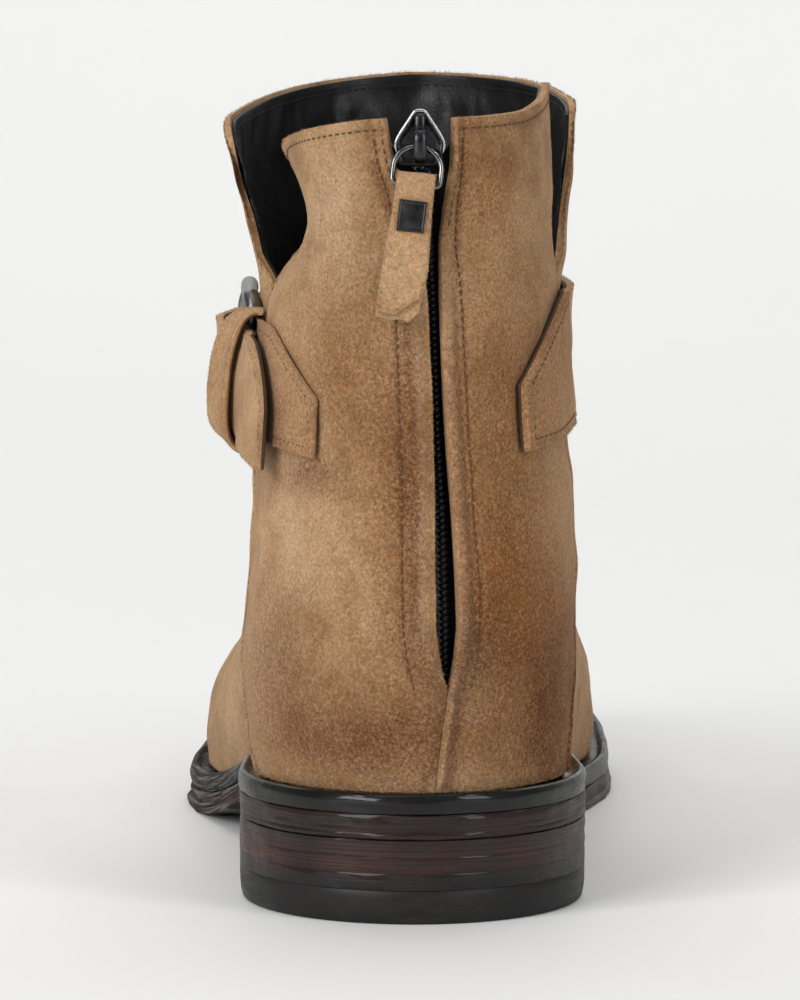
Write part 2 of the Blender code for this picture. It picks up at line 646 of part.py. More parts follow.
def build_strap():
    strap = sheet("strap", bent(STRAP_ROWS, 51), STRAP, SUEDE)
    fold = []
    for angle in np.radians(np.linspace(0, 180, 9)):
        radius = BAR + GAP
        along = BAR_U + radius * math.sin(angle) / SIDE_MM_PER_TURN
        fold.append((along, BAR_LIFT - radius * math.cos(angle), *FOLD))
    back = fold[-1][1]
    fold += [(BAR_U - 0.02, back - 0.6, *FOLD), (BAR_U - 0.045, back - 1.9, *FOLD)]
    turns, above, low, high = (column[:, None] for column in np.array(fold).T)
    share = np.linspace(0, 1, 5)
    round_bar = skin(turns + 0 * share, low + (high - low) * share, above + 0 * share)
    grid = np.concatenate([bent(TAB_ROWS, 13)[:-1], round_bar])
    tab = sheet("buckle_tab", grid, TAB, SUEDE)
    tube("buckle_frame", buckle_path(), BAR, GUNMETAL, closed=True)
    z = buckle_height(BAR_U)
    rest = BAR_LIFT + BAR + GAP + 1.2
    prong_turns = buckle_turn([0, 4, 9, 15, BUCKLE_LENGTH, BUCKLE_LENGTH + 2.6])
    prong_lifts = np.array([rest, rest + 3.2, rest + 2.9, rest + 2.3, rest + 2.0, rest + 1.6])
    prong = skin(prong_turns, np.full(6, z + 1.0) + np.linspace(0, 1.4, 6), prong_lifts)
    tube("buckle_prong", prong, 1.1, GUNMETAL)
    slot = as_mesh(tube("prong_slot", prong, 1.1 + GAP + 0.2, GUNMETAL, helper=True))
    boolean(strap, slot)
    boolean(tab, slot)


def build_keeper():
    """A leather loop that holds the strap's tip to the tab, open towards the boot."""
    turns = np.array(KEEPER_TURNS)
    rows = STRAP_ROWS[::-1]
    outer = np.interp(turns, rows[:, 0], rows[:, 1]) + STRAP + 3 * GAP
    round_by = 1.5
    foot = np.full(len(turns), STRAP_LIFT + 0.2)
    low, high = np.interp(turns, rows[:, 0], rows[:, 2]) - 1.0, np.full(len(turns), KEEPER_HIGH)
    path = [(foot, low), (outer - round_by, low), (outer - 0.6, low + 0.6), (outer, low + round_by)]
    path += [(outer, low + (high - low) * share) for share in (0.25, 0.5, 0.75)]
    path += [(outer, high - round_by), (outer - 0.6, high - 0.6)]
    path += [(outer - round_by, high), (foot, high)]
    grid = np.array([skin(turns, z, above) for above, z in path])
    sheet("strap_keeper", grid, KEEPER, SUEDE)


# Zip

SLIDER_TOP, SLIDER_FOOT = 169.8, 157.6
TAPE_HALF, TAPE_FOOT, TAPE_TOP = 10.5, 44.0, 166.0


def zip_strip(heights, sides, depth):
    """A grid up the zip: each column keeps its distance from the zip's middle, each point its depth."""
    rows = []
    for z in heights:
        t = level_at(0.0, z)
        _, place, turn_per_mm = zip_at(t)
        turns = place - sides * turn_per_mm
        level = level_at(turns, np.full(len(sides), z))
        rows.append(lining(turns, level) - outward(turns, level) * depth[:, None])
    return np.array(rows)


def build_zip():
    sides = np.array([-TAPE_HALF, -8, -5.6, -3, 3, 5.6, 8, TAPE_HALF], float)
    depth = 0.45 + 2.2 * (1 - smooth(np.abs(sides), 3.2, 8))
    heights = np.concatenate([np.linspace(TAPE_FOOT, SLIDER_FOOT - 0.4, 10), [TAPE_TOP]])
    grid = zip_strip(heights, sides, depth)
    index = np.arange(grid.shape[0] * grid.shape[1]).reshape(grid.shape[:2])
    faces = []
    for i in range(len(heights) - 1):
        for j in range(len(sides) - 1):
            beside_slider = heights[i + 1] <= SLIDER_FOOT or abs(sides[j] + sides[j + 1]) / 2 > 6
            if beside_slider:
                faces.append((index[i, j], index[i, j + 1], index[i + 1, j + 1], index[i + 1, j]))
    tape = put("zip_tape", mesh_from("zip_tape", grid, faces), TAPE)
    solidify(tape, 0.9, -1)

    teeth_sides = np.array([-2.3, -1.6, 0, 1.6, 2.3])
    crown = np.array([1.2, 0.75, 0.75, 0.75, 1.2])
    heights = np.linspace(ZIP_LINE[1, 0] - 2, SLIDER_FOOT - 0.4, 14)
    face = zip_strip(heights, teeth_sides, crown)
    floor = zip_strip(heights, teeth_sides, np.full(5, 2.3))
    section = np.concatenate([face, floor[:, ::-1]], axis=1)
    count = section.shape[1]
    index = np.arange(section.shape[0] * count).reshape(-1, count)
    sides_of = [(index[i, j], index[i, (j + 1) % count], index[i + 1, (j + 1) % count], index[i + 1, j])
                for i in range(section.shape[0] - 1) for j in range(count)]
    caps = [(end[j], end[j + 1], end[count - 2 - j], end[count - 1 - j])
            for end in (index[0], index[-1]) for j in range(4)]
    put("zip_teeth", face_out(mesh_from("zip_teeth", section, sides_of + caps)), TAPE)


def build_slider():
    """Two plates joined by a core, with a bridge on the outer one that holds the pull's ring."""
    face_y = PIVOT_Y + 1.1
    middle, height = (SLIDER_TOP + SLIDER_FOOT) / 2, SLIDER_TOP - SLIDER_FOOT
    shield = [(-2.0, height / 2), (2.0, height / 2), (5.0, 1.0), (3.9, -height / 2), (-3.9, -height / 2),
              (-5.0, 1.0)]
    slider = as_mesh(plate("zip_slider", shield, 1.5, GUNMETAL))
    back = as_mesh(plate("slider_back", shield, 1.4, helper=True))
    for plate_object, depth in ((slider, face_y + 0.75), (back, face_y + 4.2)):
        plate_object.location = (PIVOT_X * MM, depth * MM, middle * MM)
        plate_object.rotation_euler = (math.pi / 2, 0, 0)
    core = block("slider_core", (PIVOT_X - 1.2, face_y + 0.5, middle),
                 (PIVOT_X + 1.2, face_y + 4.4, SLIDER_TOP - 0.6), helper=True)
    half, foot, top = 1.3, PIVOT_Z - 3.4, PIVOT_Z + 4.0
    post_low = block("bridge_low", (PIVOT_X - half, face_y - 2.6, foot),
                     (PIVOT_X + half, face_y + 0.5, PIVOT_Z - 1.9), helper=True)
    post_high = block("bridge_high", (PIVOT_X - half, face_y - 2.6, PIVOT_Z + 1.9),
                      (PIVOT_X + half, face_y + 0.5, top), helper=True)
    bar = block("bridge_bar", (PIVOT_X - half, face_y - 3.4, foot),
                (PIVOT_X + half, face_y - 2.2, top), helper=True)
    for other in (back, core, post_low, post_high, bar):
        boolean(slider, other, "UNION")


def build_pull():
    """The ring on the slider's bridge, the leather tab folded over its lower bar, and a plain stud."""
    pivot = bpy.data.objects.new("zip_pull_pivot", None)
    BOOT.objects.link(pivot)
    pivot.location = (PIVOT_X * MM, PIVOT_Y * MM, PIVOT_Z * MM)
    pivot.rotation_euler = (0, PULL_LEAN, 0)
    wire, bar_drop, bar_out, half = 0.75, 7.8, 1.5, 5.1
    tab_half, tab_top, tab_end, leather = 4.0, -5.2, -36.0, 2.5

    arch = [(half * math.cos(a), -4.4 + 4.4 * math.sin(a)) for a in np.radians(np.linspace(0, 180, 15))]
    foot = [(-half, -bar_drop + 1.2), (-half + 1.0, -bar_drop), (0, -bar_drop),
            (half - 1.0, -bar_drop), (half, -bar_drop + 1.2)]
    path = [(x, z / bar_drop * bar_out, z) for x, z in arch + foot]
    tube("pull_ring", path, wire, GUNMETAL, closed=True, parent=pivot)

    hole = [(-bar_out + 1.1 * math.cos(a), -bar_drop + 1.1 * math.sin(a))
            for a in np.radians(np.arange(0, 360, 30))]
    tail = -bar_out + 0.9
    sides = [(tail, tab_end), (tail, -bar_drop - 4.5), (-bar_out + 2.3, -bar_drop - 1.2),
             (-bar_out + 2.3, -bar_drop + 0.8), (-bar_out + 1.2, tab_top), (-bar_out - 1.2, tab_top),
             (-bar_out - 2.3, -bar_drop + 0.8), (-bar_out - 2.3, -bar_drop - 1.2),
             (tail - leather, -bar_drop - 4.5), (tail - leather, tab_end)]
    tab = as_mesh(plate("pull_tab", sides, 2 * tab_half, SUEDE, holes=(hole,), parent=pivot))
    for vertex in tab.data.vertices:
        vertex.co.z *= 1 + TAB_FLARE * smooth(-vertex.co.y / MM, 9, 30)
    tab.matrix_parent_inverse.identity()
    tab.location = (0, 0, 0)
    tab.rotation_euler = (math.pi / 2, 0, math.pi / 2)
    below = [(-tab_half - 2, tab_end), (tab_half + 2, tab_end + 7), (tab_half + 2, tab_end - 9),
             (-tab_half - 2, tab_end - 9)]
    cut = plate("tab_end_cut", below, 14, helper=True, parent=pivot)
    cut.rotation_euler = (math.pi / 2, 0, 0)
    boolean(tab, as_mesh(cut))
    face = tail - leather - GAP
    stud = block("pull_stud", (-2.8, face - 1.1, -17.4), (2.8, face, -11.0), GUNMETAL, parent=pivot)
    rounded = stud.modifiers.new("edges", "BEVEL")
    rounded.width = 0.6 * MM
    rounded.segments = 2


def clear_scene():
    for obj in list(bpy.data.objects):
        bpy.data.objects.remove(obj)


clear_scene()
BOOT = collection("ankle_boot")
CUTTERS = collection("cutters")
build_sole()
build_heel()
build_upper()
build_strap()
build_keeper()
build_zip()
build_slider()
build_pull()
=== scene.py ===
import math

import bmesh
import bpy
import numpy as np
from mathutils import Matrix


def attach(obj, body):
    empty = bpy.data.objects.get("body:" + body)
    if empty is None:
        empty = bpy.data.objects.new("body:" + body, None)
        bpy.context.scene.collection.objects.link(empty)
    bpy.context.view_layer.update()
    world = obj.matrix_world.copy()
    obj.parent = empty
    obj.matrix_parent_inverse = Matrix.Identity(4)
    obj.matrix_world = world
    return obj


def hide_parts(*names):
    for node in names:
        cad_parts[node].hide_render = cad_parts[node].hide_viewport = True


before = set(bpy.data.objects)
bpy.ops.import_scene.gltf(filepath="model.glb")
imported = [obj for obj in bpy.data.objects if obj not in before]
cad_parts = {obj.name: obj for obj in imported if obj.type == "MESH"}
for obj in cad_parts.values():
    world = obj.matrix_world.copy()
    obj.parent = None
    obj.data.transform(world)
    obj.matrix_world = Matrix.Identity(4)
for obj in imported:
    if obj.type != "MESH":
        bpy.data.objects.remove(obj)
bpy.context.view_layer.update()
mm = 0.001  # sizes below are in millimetres, in the CAD frame: toe +Y, outer side -X, floor Z = 0

# the last, as the solids have it
last = {
    "gap": 0.3, "topLift": 7.0, "heelStack": 10.5, "outsole": 5.1, "welt": 4.2,
    "breastY": 32.0, "shankStart": 35.0, "shankEnd": 130.0, "ballEnd": 153.0,
    "toeSpring": 9.0, "toeSwing": 9.0, "swingStart": 60.0, "ballSlant": 14.0,
    "heelY": -30.5, "toeY": 253.5, "turnHeel": 0.16, "turnBall": 0.30,
    "neckDent": 8.0, "neckZ": 146.0, "neckHigh": 13.0, "neckTurn": 0.155, "neckWide": 0.055, "neckFade": (123, 137),
    "slotFoot": 8.35, "zipFoot": 2.5, "beltZ": 106.0, "vampWall": 2.2, "quarterStep": 1.0,
}
heelLift = last["topLift"] + last["heelStack"] + last["gap"]
seatOverLift = last["outsole"] + last["gap"] + last["welt"]
heelSeat = heelLift + seatOverLift
toeSeat = last["toeSpring"] + seatOverLift
columns = ("backY", "backZ", "frontY", "frontZ", "backRound", "frontRound", "latHeel", "medHeel",
           "latWaist", "medWaist", "latBall", "medBall", "power", "follow")
levels = np.array([  # one row a level, from the feather line up to the collar
    (last["heelY"], heelSeat + 0.3, last["toeY"], toeSeat + 0.3, 36, 104,
     31.0, 30.2, 31.0, 25.0, 47.2, 39.8, 2.25, 1.00),
    (-32.5, 36, 256, 27.5, 38, 104, 33.2, 30.8, 34.5, 28.5, 47.8, 40.3, 2.25, 0.95),
    (-33.6, 45, 254, 36.0, 40, 104, 33.4, 31.0, 35.6, 31.5, 45.6, 39.4, 2.20, 0.85),
    (-34.0, 54, 238, 45.0, 42, 100, 33.5, 31.2, 34.9, 32.5, 39.2, 36.9, 2.10, 0.70),
    (-33.5, 63.5, 203, 55, 44, 95, 32.7, 31.6, 33.2, 32.8, 33.2, 34.2, 2.00, 0.50),
    (-32.3, 74, 162, 69, 46, 88, 32.0, 31.6, 32.2, 32.4, 31.6, 33.0, 2.00, 0.30),
    (-31.0, 86, 128, 86.5, 47, 78, 31.1, 31.2, 31.3, 31.6, 31.0, 31.8, 2.00, 0.12),
    (-30.0, 100, 103, 105, 47, 68, 30.0, 28.8, 30.3, 29.6, 30.6, 30.2, 2.00, 0.00),
    (-29.5, 116, 88, 123, 46, 62, 28.8, 27.8, 29.3, 28.4, 30.0, 29.0, 2.00, 0.00),
    (-29.7, 133, 81, 141, 45, 58, 27.8, 27.6, 29.0, 29.0, 32.0, 30.4, 2.00, 0.00),
    (-30.2, 150, 79, 158, 45, 57, 27.6, 27.2, 31.0, 30.0, 36.5, 32.2, 2.00, 0.00),
    (-30.6, 167.5, 79, 175.5, 45, 57, 29.2, 26.6, 33.0, 30.5, 42.0, 33.0, 2.00, 0.00),
], float)
top = len(levels) - 1
topRise = (levels[-1] - levels[-2])[1]
collarDrop = np.array([  # turn, how far the collar's edge lies below the top level
    (0.00, 0.0), (0.02, 0.2), (0.038, 1.2), (0.074, 4.0), (0.115, 7.2), (0.14, 9.6), (0.155, 11.5),
    (0.25, 11.5), (0.29, 9.5), (0.315, 7.5), (0.36, 6.0), (0.42, 3.0), (0.50, 0.0), (0.60, 0.3), (0.68, 2.5),
    (0.72, 5.0), (0.74, 7.0), (0.845, -3.5), (0.87, -1.5), (0.91, 0.3), (1.00, 0.0),
])
zipLine = np.array([  # height, half the opening, how far the zip wanders to the inner side
    (27, 0.0, 3.6), (49, 0.0, 6.4), (52, 0.9, 6.4), (56, 1.7, 6.3), (62, 2.3, 6.1), (74, 2.1, 5.6),
    (90, 1.6, 5.0), (110, 1.2, 4.2), (130, 1.2, 3.3), (142, 1.8, 2.6), (150, 3.4, 2.0), (158, 5.6, 1.4),
    (170, 7.0, 0.7),
])
seamSettings = {  # places of the panels' edges as turns, the levels by which they open, and the tuck in millimetres
    "side": 0.2, "footBack": 0.06, "outerBack": 0.048, "innerBack": 0.040, "backBy": 9.3, "flap": 0.2035,
    "outerOpen": 0.085, "innerOpen": 0.06, "openBy": 9.4, "cornerTurn": 0.03, "tuck": 5}


def smoothStep(value, start, end):  # 0 before start, 1 after end, an S-curve between
    share = np.clip((np.asarray(value, float) - start) / (end - start), 0, 1)
    return share * share * (3 - 2 * share)


def bell(value, width):  # 1 at zero, fading either side over the width
    return np.exp(-(np.asarray(value, float) / width) ** 2)


def unit(vectors):  # vectors divided by their length
    return vectors / np.linalg.norm(vectors, axis=-1, keepdims=True)


def wayAlong(path):  # the length walked at each point of a path
    return np.concatenate([[0], np.cumsum(np.linalg.norm(np.diff(path, axis=0), axis=1))])


def readAlong(at, way, values):  # every column of the values, read at those lengths of the way
    return np.stack([np.interp(at, way, column) for column in values.T], axis=-1)


def tableRow(rows, at):  # a table read at a fractional row, on a curve through every row
    at = np.clip(np.asarray(at, float), 0, len(rows) - 1)
    low = np.minimum(at.astype(int), len(rows) - 2)
    share = (at - low)[..., None]
    before, first = rows[np.maximum(low - 1, 0)], rows[low]
    second, after = rows[low + 1], rows[np.minimum(low + 2, len(rows) - 1)]
    square, cube = share**2, share**3
    return ((2 * cube - 3 * square + 1) * first + (cube - 2 * square + share) * (second - before) / 2
            + (3 * square - 2 * cube) * second + (cube - square) * (after - first) / 2)


def levelRow(level):  # the named measures of the last at a level
    return dict(zip(columns, np.moveaxis(tableRow(levels, level), -1, 0)))


def softNoise(points, size, seed, parts=14):  # sines along random directions added up: soft lumps of that size
    draw = np.random.default_rng(seed)
    way = draw.normal(size=(parts, 3))
    way *= draw.uniform(0.7, 1.4, (parts, 1)) / np.linalg.norm(way, axis=1, keepdims=True)
    phase = draw.uniform(0, 2 * math.pi, parts)
    return np.sin(points @ way.T * (2 * math.pi / size) + phase).sum(-1) / math.sqrt(parts)


def soleLift(y):  # the outsole's underside: level at the heel, down the shank to the ball, up at the toe
    shank = heelLift * (1 - smoothStep(y, last["shankStart"], last["shankEnd"]))
    ahead = np.maximum(np.asarray(y, float) - last["ballEnd"], 0) / (last["toeY"] - last["ballEnd"])
    return shank + last["toeSpring"] * ahead**1.6


def seatHeight(y):  # top of the welt, on which the upper stands
    return soleLift(y) + seatOverLift


def lining(turn, level):  # inner face of the upper: heel arc, side and toe arc at each level, swung to the toe
    turn, level = np.broadcast_arrays(np.asarray(turn, float), np.asarray(level, float))
    around = (turn + 0.5) % 1 - 0.5
    v, outer = np.abs(around), around >= 0
    row = levelRow(level)
    heel, waist, ball = (np.where(outer, row["lat" + part], row["med" + part])
                         for part in ("Heel", "Waist", "Ball"))
    heelEnd = row["backY"] + row["backRound"]
    frontRound = row["frontRound"] - last["ballSlant"] * row["follow"] * ~outer
    toeStart = row["frontY"] - frontRound
    uHeel, uBall = last["turnHeel"], last["turnBall"]
    heelTurn = np.clip(v / uHeel, 0, 1) * math.pi / 2
    side = np.clip((v - uHeel) / (uBall - uHeel), 0, 1)
    toeTurn = np.clip((0.5 - v) / (0.5 - uBall), 0, 1) * math.pi / 2
    power = 2 / row["power"]
    y = np.where(v < uHeel, heelEnd - row["backRound"] * np.cos(heelTurn),
                 np.where(v < uBall, heelEnd + side * (toeStart - heelEnd),
                          toeStart + frontRound * np.maximum(np.cos(toeTurn), 0) ** power))
    swell = 16 * (side * (1 - side)) ** 2 * (waist - (heel + ball) / 2)
    width = np.where(v < uHeel, heel * np.sin(heelTurn),
                     np.where(v < uBall, heel + (ball - heel) * smoothStep(side, 0, 1) + swell,
                              ball * np.sin(toeTurn) ** power))
    along = (y - row["backY"]) / (row["frontY"] - row["backY"])
    chord = heelSeat + (toeSeat - heelSeat) * (y - last["heelY"]) / (last["toeY"] - last["heelY"])
    z = row["backZ"] + (row["frontZ"] - row["backZ"]) * along + row["follow"] * (seatHeight(y) - chord)
    dent = last["neckDent"] * bell(z - last["neckZ"], last["neckHigh"])
    dent = dent * bell(v - last["neckTurn"], last["neckWide"]) * smoothStep(z, *last["neckFade"]) * outer
    ahead = np.maximum(y - last["swingStart"], 0) / (last["toeY"] - last["swingStart"])
    return np.stack([np.where(outer, dent - width, width) + last["toeSwing"] * ahead**2, y, z], axis=-1)


def outward(turn, level):  # unit vectors square to the lining: up the level crossed with round the turn
    turn, level = np.broadcast_arrays(np.asarray(turn, float), np.asarray(level, float))
    step = 1e-3
    across = lining(turn + step, level) - lining(turn - step, level)
    upward = lining(turn, np.clip(level + step, 0, top)) - lining(turn, np.clip(level - step, 0, top))
    return unit(np.cross(upward, across))


def levelAt(turn, z):  # the level that has that height, by halving
    turn, z = np.broadcast_arrays(np.asarray(turn, float), np.asarray(z, float))
    low, high = np.zeros(z.shape), np.full(z.shape, float(top))
    for _ in range(26):
        middle = (low + high) / 2
        under = lining(turn, middle)[..., 2] < z
        low, high = np.where(under, middle, low), np.where(under, high, middle)
    return (low + high) / 2


def heelMm(row):  # one millimetre round the heel as a share of a turn
    return last["turnHeel"] / (math.pi / 2 * row["latHeel"])


def zipAt(level):  # half the zip's opening, its place and one millimetre, all as shares of a turn
    row = levelRow(level)
    z, perMm = row["backZ"], heelMm(row)
    half = np.interp(z, zipLine[:, 0], zipLine[:, 1])
    return half * perMm, -np.interp(z, zipLine[:, 0], zipLine[:, 2]) * perMm, perMm


def quarterEdge(level, outer):  # the quarter's front edge: down the side, set back above the slot's foot
    seam = seamSettings["side"] - seamSettings["footBack"] * (1 - smoothStep(level, 0, last["slotFoot"]))
    back = seamSettings["outerBack" if outer else "innerBack"]
    return seam - back * smoothStep(level, last["slotFoot"], seamSettings["backBy"])


def flapEdge(level, outer):  # the vamp's back edge where it shows
    opened = seamSettings["outerOpen" if outer else "innerOpen"]
    opened = opened * smoothStep(level, last["slotFoot"], seamSettings["openBy"])
    return seamSettings["flap"] + opened + seamSettings["cornerTurn"] * smoothStep(level, top - 0.7, top + 0.2)


def vampEdge(level, outer):  # the vamp's real back edge: tucked under the quarter below the slot
    row = levelRow(level)
    sideLength = row["frontY"] - row["frontRound"] - row["backY"] - row["backRound"]
    onSide = (last["turnBall"] - last["turnHeel"]) / np.maximum(sideLength, 6)  # a millimetre as a share of a turn
    tucked = quarterEdge(level, outer) - seamSettings["tuck"] * np.maximum(onSide, heelMm(row))
    shows = smoothStep(level, last["slotFoot"] - 0.35, last["slotFoot"])
    return tucked + (flapEdge(level, outer) - tucked) * shows


def skin(turn, z, above):  # points that far above the upper's outer face, square to it at the belt
    v = np.abs((np.asarray(turn, float) + 0.5) % 1 - 0.5)
    thick = last["vampWall"] + last["quarterStep"] * (1 - smoothStep(v, 0.205, 0.27))
    away = outward(turn, levelAt(turn, np.full(np.shape(turn), last["beltZ"])))
    return lining(turn, levelAt(turn, z)) + away * (thick + np.asarray(above, float))[..., None]


def onUpper(turn, level, height):  # lining plus height along the normal, resting on the welt at the foot
    inside = np.clip(level, 0, top)
    points = lining(turn, inside) + outward(turn, inside) * np.asarray(height)[..., None]
    points[..., 2] += np.maximum(level - top, 0) * topRise
    points[..., 2] = np.maximum(points[..., 2], seatHeight(points[..., 1]) + 0.05)
    return points


# meshes

def gridFaces(rows, cols, wrapRows=False, wrapCols=False):  # quads of a grid, joined round where it wraps
    index = np.arange(rows * cols).reshape(rows, cols)
    if wrapRows:
        index = np.concatenate([index, index[:1]], axis=0)
    if wrapCols:
        index = np.concatenate([index, index[:, :1]], axis=1)
    return np.stack([index[:-1, :-1], index[1:, :-1], index[1:, 1:], index[:-1, 1:]], axis=-1).reshape(-1, 4)


def endCaps(layers, count):  # one face over the first and one over the last loop of a tube
    return [list(range(count)), list(range((layers - 1) * count, layers * count))[::-1]]


def shellFaces(rows, cols):  # an outer grid, the same grid turned round inside it, and the rim between
    index = np.arange(rows * cols).reshape(rows, cols)
    outer = gridFaces(rows, cols)
    rim = np.concatenate([index[:-1, 0], index[-1, :-1], index[:0:-1, -1], index[0, :0:-1]])
    ahead = np.roll(rim, -1)
    inner = rows * cols
    sides = np.stack([ahead, rim, rim + inner, ahead + inner], axis=-1)
    return np.concatenate([outer, outer[:, ::-1] + inner, sides])


def stackFaces(layers, count):  # loops laid one over another, closed below and above from side to side
    index = np.arange(layers * count).reshape(layers, count)
    strip = np.arange(count // 2 - 1)
    caps = []
    for loop, turned in ((index[0], 1), (index[-1], -1)):
        cap = np.stack([loop[strip], loop[strip + 1], loop[count - 2 - strip], loop[count - 1 - strip]], axis=-1)
        caps.append(cap[:, ::turned])
    return np.concatenate([gridFaces(layers, count, wrapCols=True), *caps])


def weltFaces(layers, count):  # loops laid round a ring, the last joined to the first
    return gridFaces(layers, count, wrapRows=True, wrapCols=True)


def sheetParts(outer, inner):  # points and faces of a sheet with two faces and a rim
    return np.concatenate([outer.reshape(-1, 3), inner.reshape(-1, 3)]), shellFaces(*outer.shape[:2])


def bothFaces(marks):  # the marks of a sheet's outer face, given to its inner face too
    return {name: np.concatenate([values.ravel(), values.ravel()]) for name, values in marks.items()}


def joinParts(parts):  # several (points, faces) as one, with the faces' numbers moved on
    points, faces, start = [], [], 0
    for partPoints, partFaces in parts:
        flat = np.asarray(partPoints, float).reshape(-1, 3)
        points.append(flat)
        faces += [tuple(int(i) + start for i in face) for face in partFaces]
        start += len(flat)
    return np.concatenate(points), faces


def makePiece(name, points, faces, look, body, nodes, slotName, marks=None, turnOut=False, sharp=42):
    # a mesh from points in millimetres; marks are values a point that the look reads by name
    mesh = bpy.data.meshes.new(name)
    points = np.asarray(points, float).reshape(-1, 3)
    mesh.from_pydata((points * mm).tolist(), [], [tuple(int(i) for i in face) for face in faces])
    for mark, values in (marks or {}).items():
        layer = mesh.attributes.new(mark, "FLOAT", "POINT")
        layer.data.foreach_set("value", np.asarray(values, np.float32).ravel())
    if turnOut:
        work = bmesh.new()
        work.from_mesh(mesh)
        bmesh.ops.recalc_face_normals(work, faces=work.faces)
        work.to_mesh(mesh)
        work.free()
    mesh.validate()
    mesh.shade_smooth()
    mesh.set_sharp_from_angle(angle=math.radians(sharp))
    mesh.materials.append(look)
    piece = bpy.data.objects.new(name, mesh)
    bpy.context.scene.collection.objects.link(piece)
    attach(piece, body)
    if nodes:
        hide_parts(*nodes)


def tubeAlong(path, radius, sides=12, closed=False, flat=1.0, upHint=(0.31, 0.17, 0.93)):
    # a round bar: a ring of points square to the path at each of its points; flat squeezes it along the hint
    path = np.asarray(path, float)
    if closed:
        along = np.roll(path, -1, axis=0) - np.roll(path, 1, axis=0)
    else:
        along = np.gradient(path, axis=0)
    along = unit(along)
    side = unit(np.cross(along, np.broadcast_to(upHint, path.shape)))
    up = np.cross(side, along)
    angle = np.linspace(0, 2 * math.pi, sides, endpoint=False)
    size = np.broadcast_to(np.asarray(radius, float), (len(path),))[:, None, None]
    ring = np.cos(angle)[:, None] * side[:, None] + np.sin(angle)[:, None] * up[:, None] * flat
    points = path[:, None] + ring * size
    faces = gridFaces(len(path), sides, wrapRows=closed, wrapCols=True).tolist()
    if not closed:
        faces += endCaps(len(path), sides)
    return points.reshape(-1, 3), faces


def resample(path, count, closed=False):  # the path at even steps of its length
    path = np.asarray(path, float)
    if closed:
        path = np.concatenate([path, path[:1]])
    way = wayAlong(path)
    return readAlong(np.linspace(0, way[-1], count, endpoint=not closed), way, path)


def roundedPath(path, count, closed=False):  # a curve through the points, then even steps
    path = np.asarray(path, float)
    if closed:
        path = np.concatenate([path[-2:], path, path[:3]])
        fine = tableRow(path, np.linspace(2, len(path) - 3, 40 * len(path)))[:-1]
    else:
        fine = tableRow(path, np.linspace(0, len(path) - 1, 40 * len(path)))
    return resample(fine, count, closed)


# shaders

def setInputs(tree, node, inputs):  # links what is a socket and sets what is a value
    for key, value in inputs.items():
        if isinstance(value, bpy.types.NodeSocket):
            tree.links.new(value, node.inputs[key])
        else:
            node.inputs[key].default_value = value


def addNode(tree, kind, inputs, **settings):
    made = tree.nodes.new(kind)
    for key, value in settings.items():
        setattr(made, key, value)
    setInputs(tree, made, inputs)
    return made


def calc(tree, operation, first, second, clamp=False):
    return addNode(tree, "ShaderNodeMath", {0: first, 1: second}, operation=operation, use_clamp=clamp).outputs[0]


def times(tree, first, second, clamp=False):
    return calc(tree, "MULTIPLY", first, second, clamp)


def plus(tree, first, second, clamp=False):
    return calc(tree, "ADD", first, second, clamp)


def blendColor(tree, share, first, second, mode="MIX"):
    made = addNode(tree, "ShaderNodeMix", {0: share, 6: first, 7: second}, data_type="RGBA", blend_type=mode)
    return made.outputs[2]


def tinted(tree, share, color, factor):  # a share of the colour multiplied by the factor
    return blendColor(tree, share, color, blendColor(tree, 1.0, color, factor, "MULTIPLY"))


def shaded(tone, amount):  # a fixed colour made darker or lighter
    return tuple(amount * c for c in tone[:3]) + (1,)


def remap(tree, value, low, high, toLow=0.0, toHigh=1.0):
    names = {"Value": value, "From Min": low, "From Max": high, "To Min": toLow, "To Max": toHigh}
    return addNode(tree, "ShaderNodeMapRange", names, clamp=True).outputs[0]


def noiseAt(tree, place, scale, detail, rough, distortion=0.0):
    return addNode(tree, "ShaderNodeTexNoise", {
        "Vector": place, "Scale": scale, "Detail": detail, "Roughness": rough, "Distortion": distortion}).outputs[0]


def stretched(tree, place, scale):
    return addNode(tree, "ShaderNodeMapping", {"Vector": place, "Scale": scale}).outputs[0]


def mark(tree, name):  # a value a point that makePiece put on the mesh
    return addNode(tree, "ShaderNodeAttribute", {}, attribute_name=name).outputs["Fac"]


def newGroup(name, ins, outs):  # a shader node group with named inputs and outputs
    group = bpy.data.node_groups.new(name, "ShaderNodeTree")
    kinds = {"value": "NodeSocketFloat", "color": "NodeSocketColor", "vector": "NodeSocketVector"}
    for label, kind, default in ins:
        socket = group.interface.new_socket(label, in_out="INPUT", socket_type=kinds[kind])
        if default is not None:
            socket.default_value = default
    for label, kind in outs:
        group.interface.new_socket(label, in_out="OUTPUT", socket_type=kinds[kind])
    return group, group.nodes.new("NodeGroupInput").outputs, group.nodes.new("NodeGroupOutput")


def useGroup(tree, group, inputs):
    return addNode(tree, "ShaderNodeGroup", inputs, node_tree=group).outputs


def newLook(name, settings):  # a material with its Principled shader's own values set, and the place on the object
    look = bpy.data.materials.new(name)
    look.use_nodes = True
    shader = look.node_tree.nodes["Principled BSDF"]
    setInputs(look.node_tree, shader, settings)
    place = look.node_tree.nodes.new("ShaderNodeTexCoord").outputs["Object"]
    return look, look.node_tree, shader, place


def bump(tree, shader, height, strength, distance):
    made = addNode(tree, "ShaderNodeBump", {"Height": height, "Strength": strength, "Distance": distance * mm})
    setInputs(tree, shader, {"Normal": made.outputs[0]})


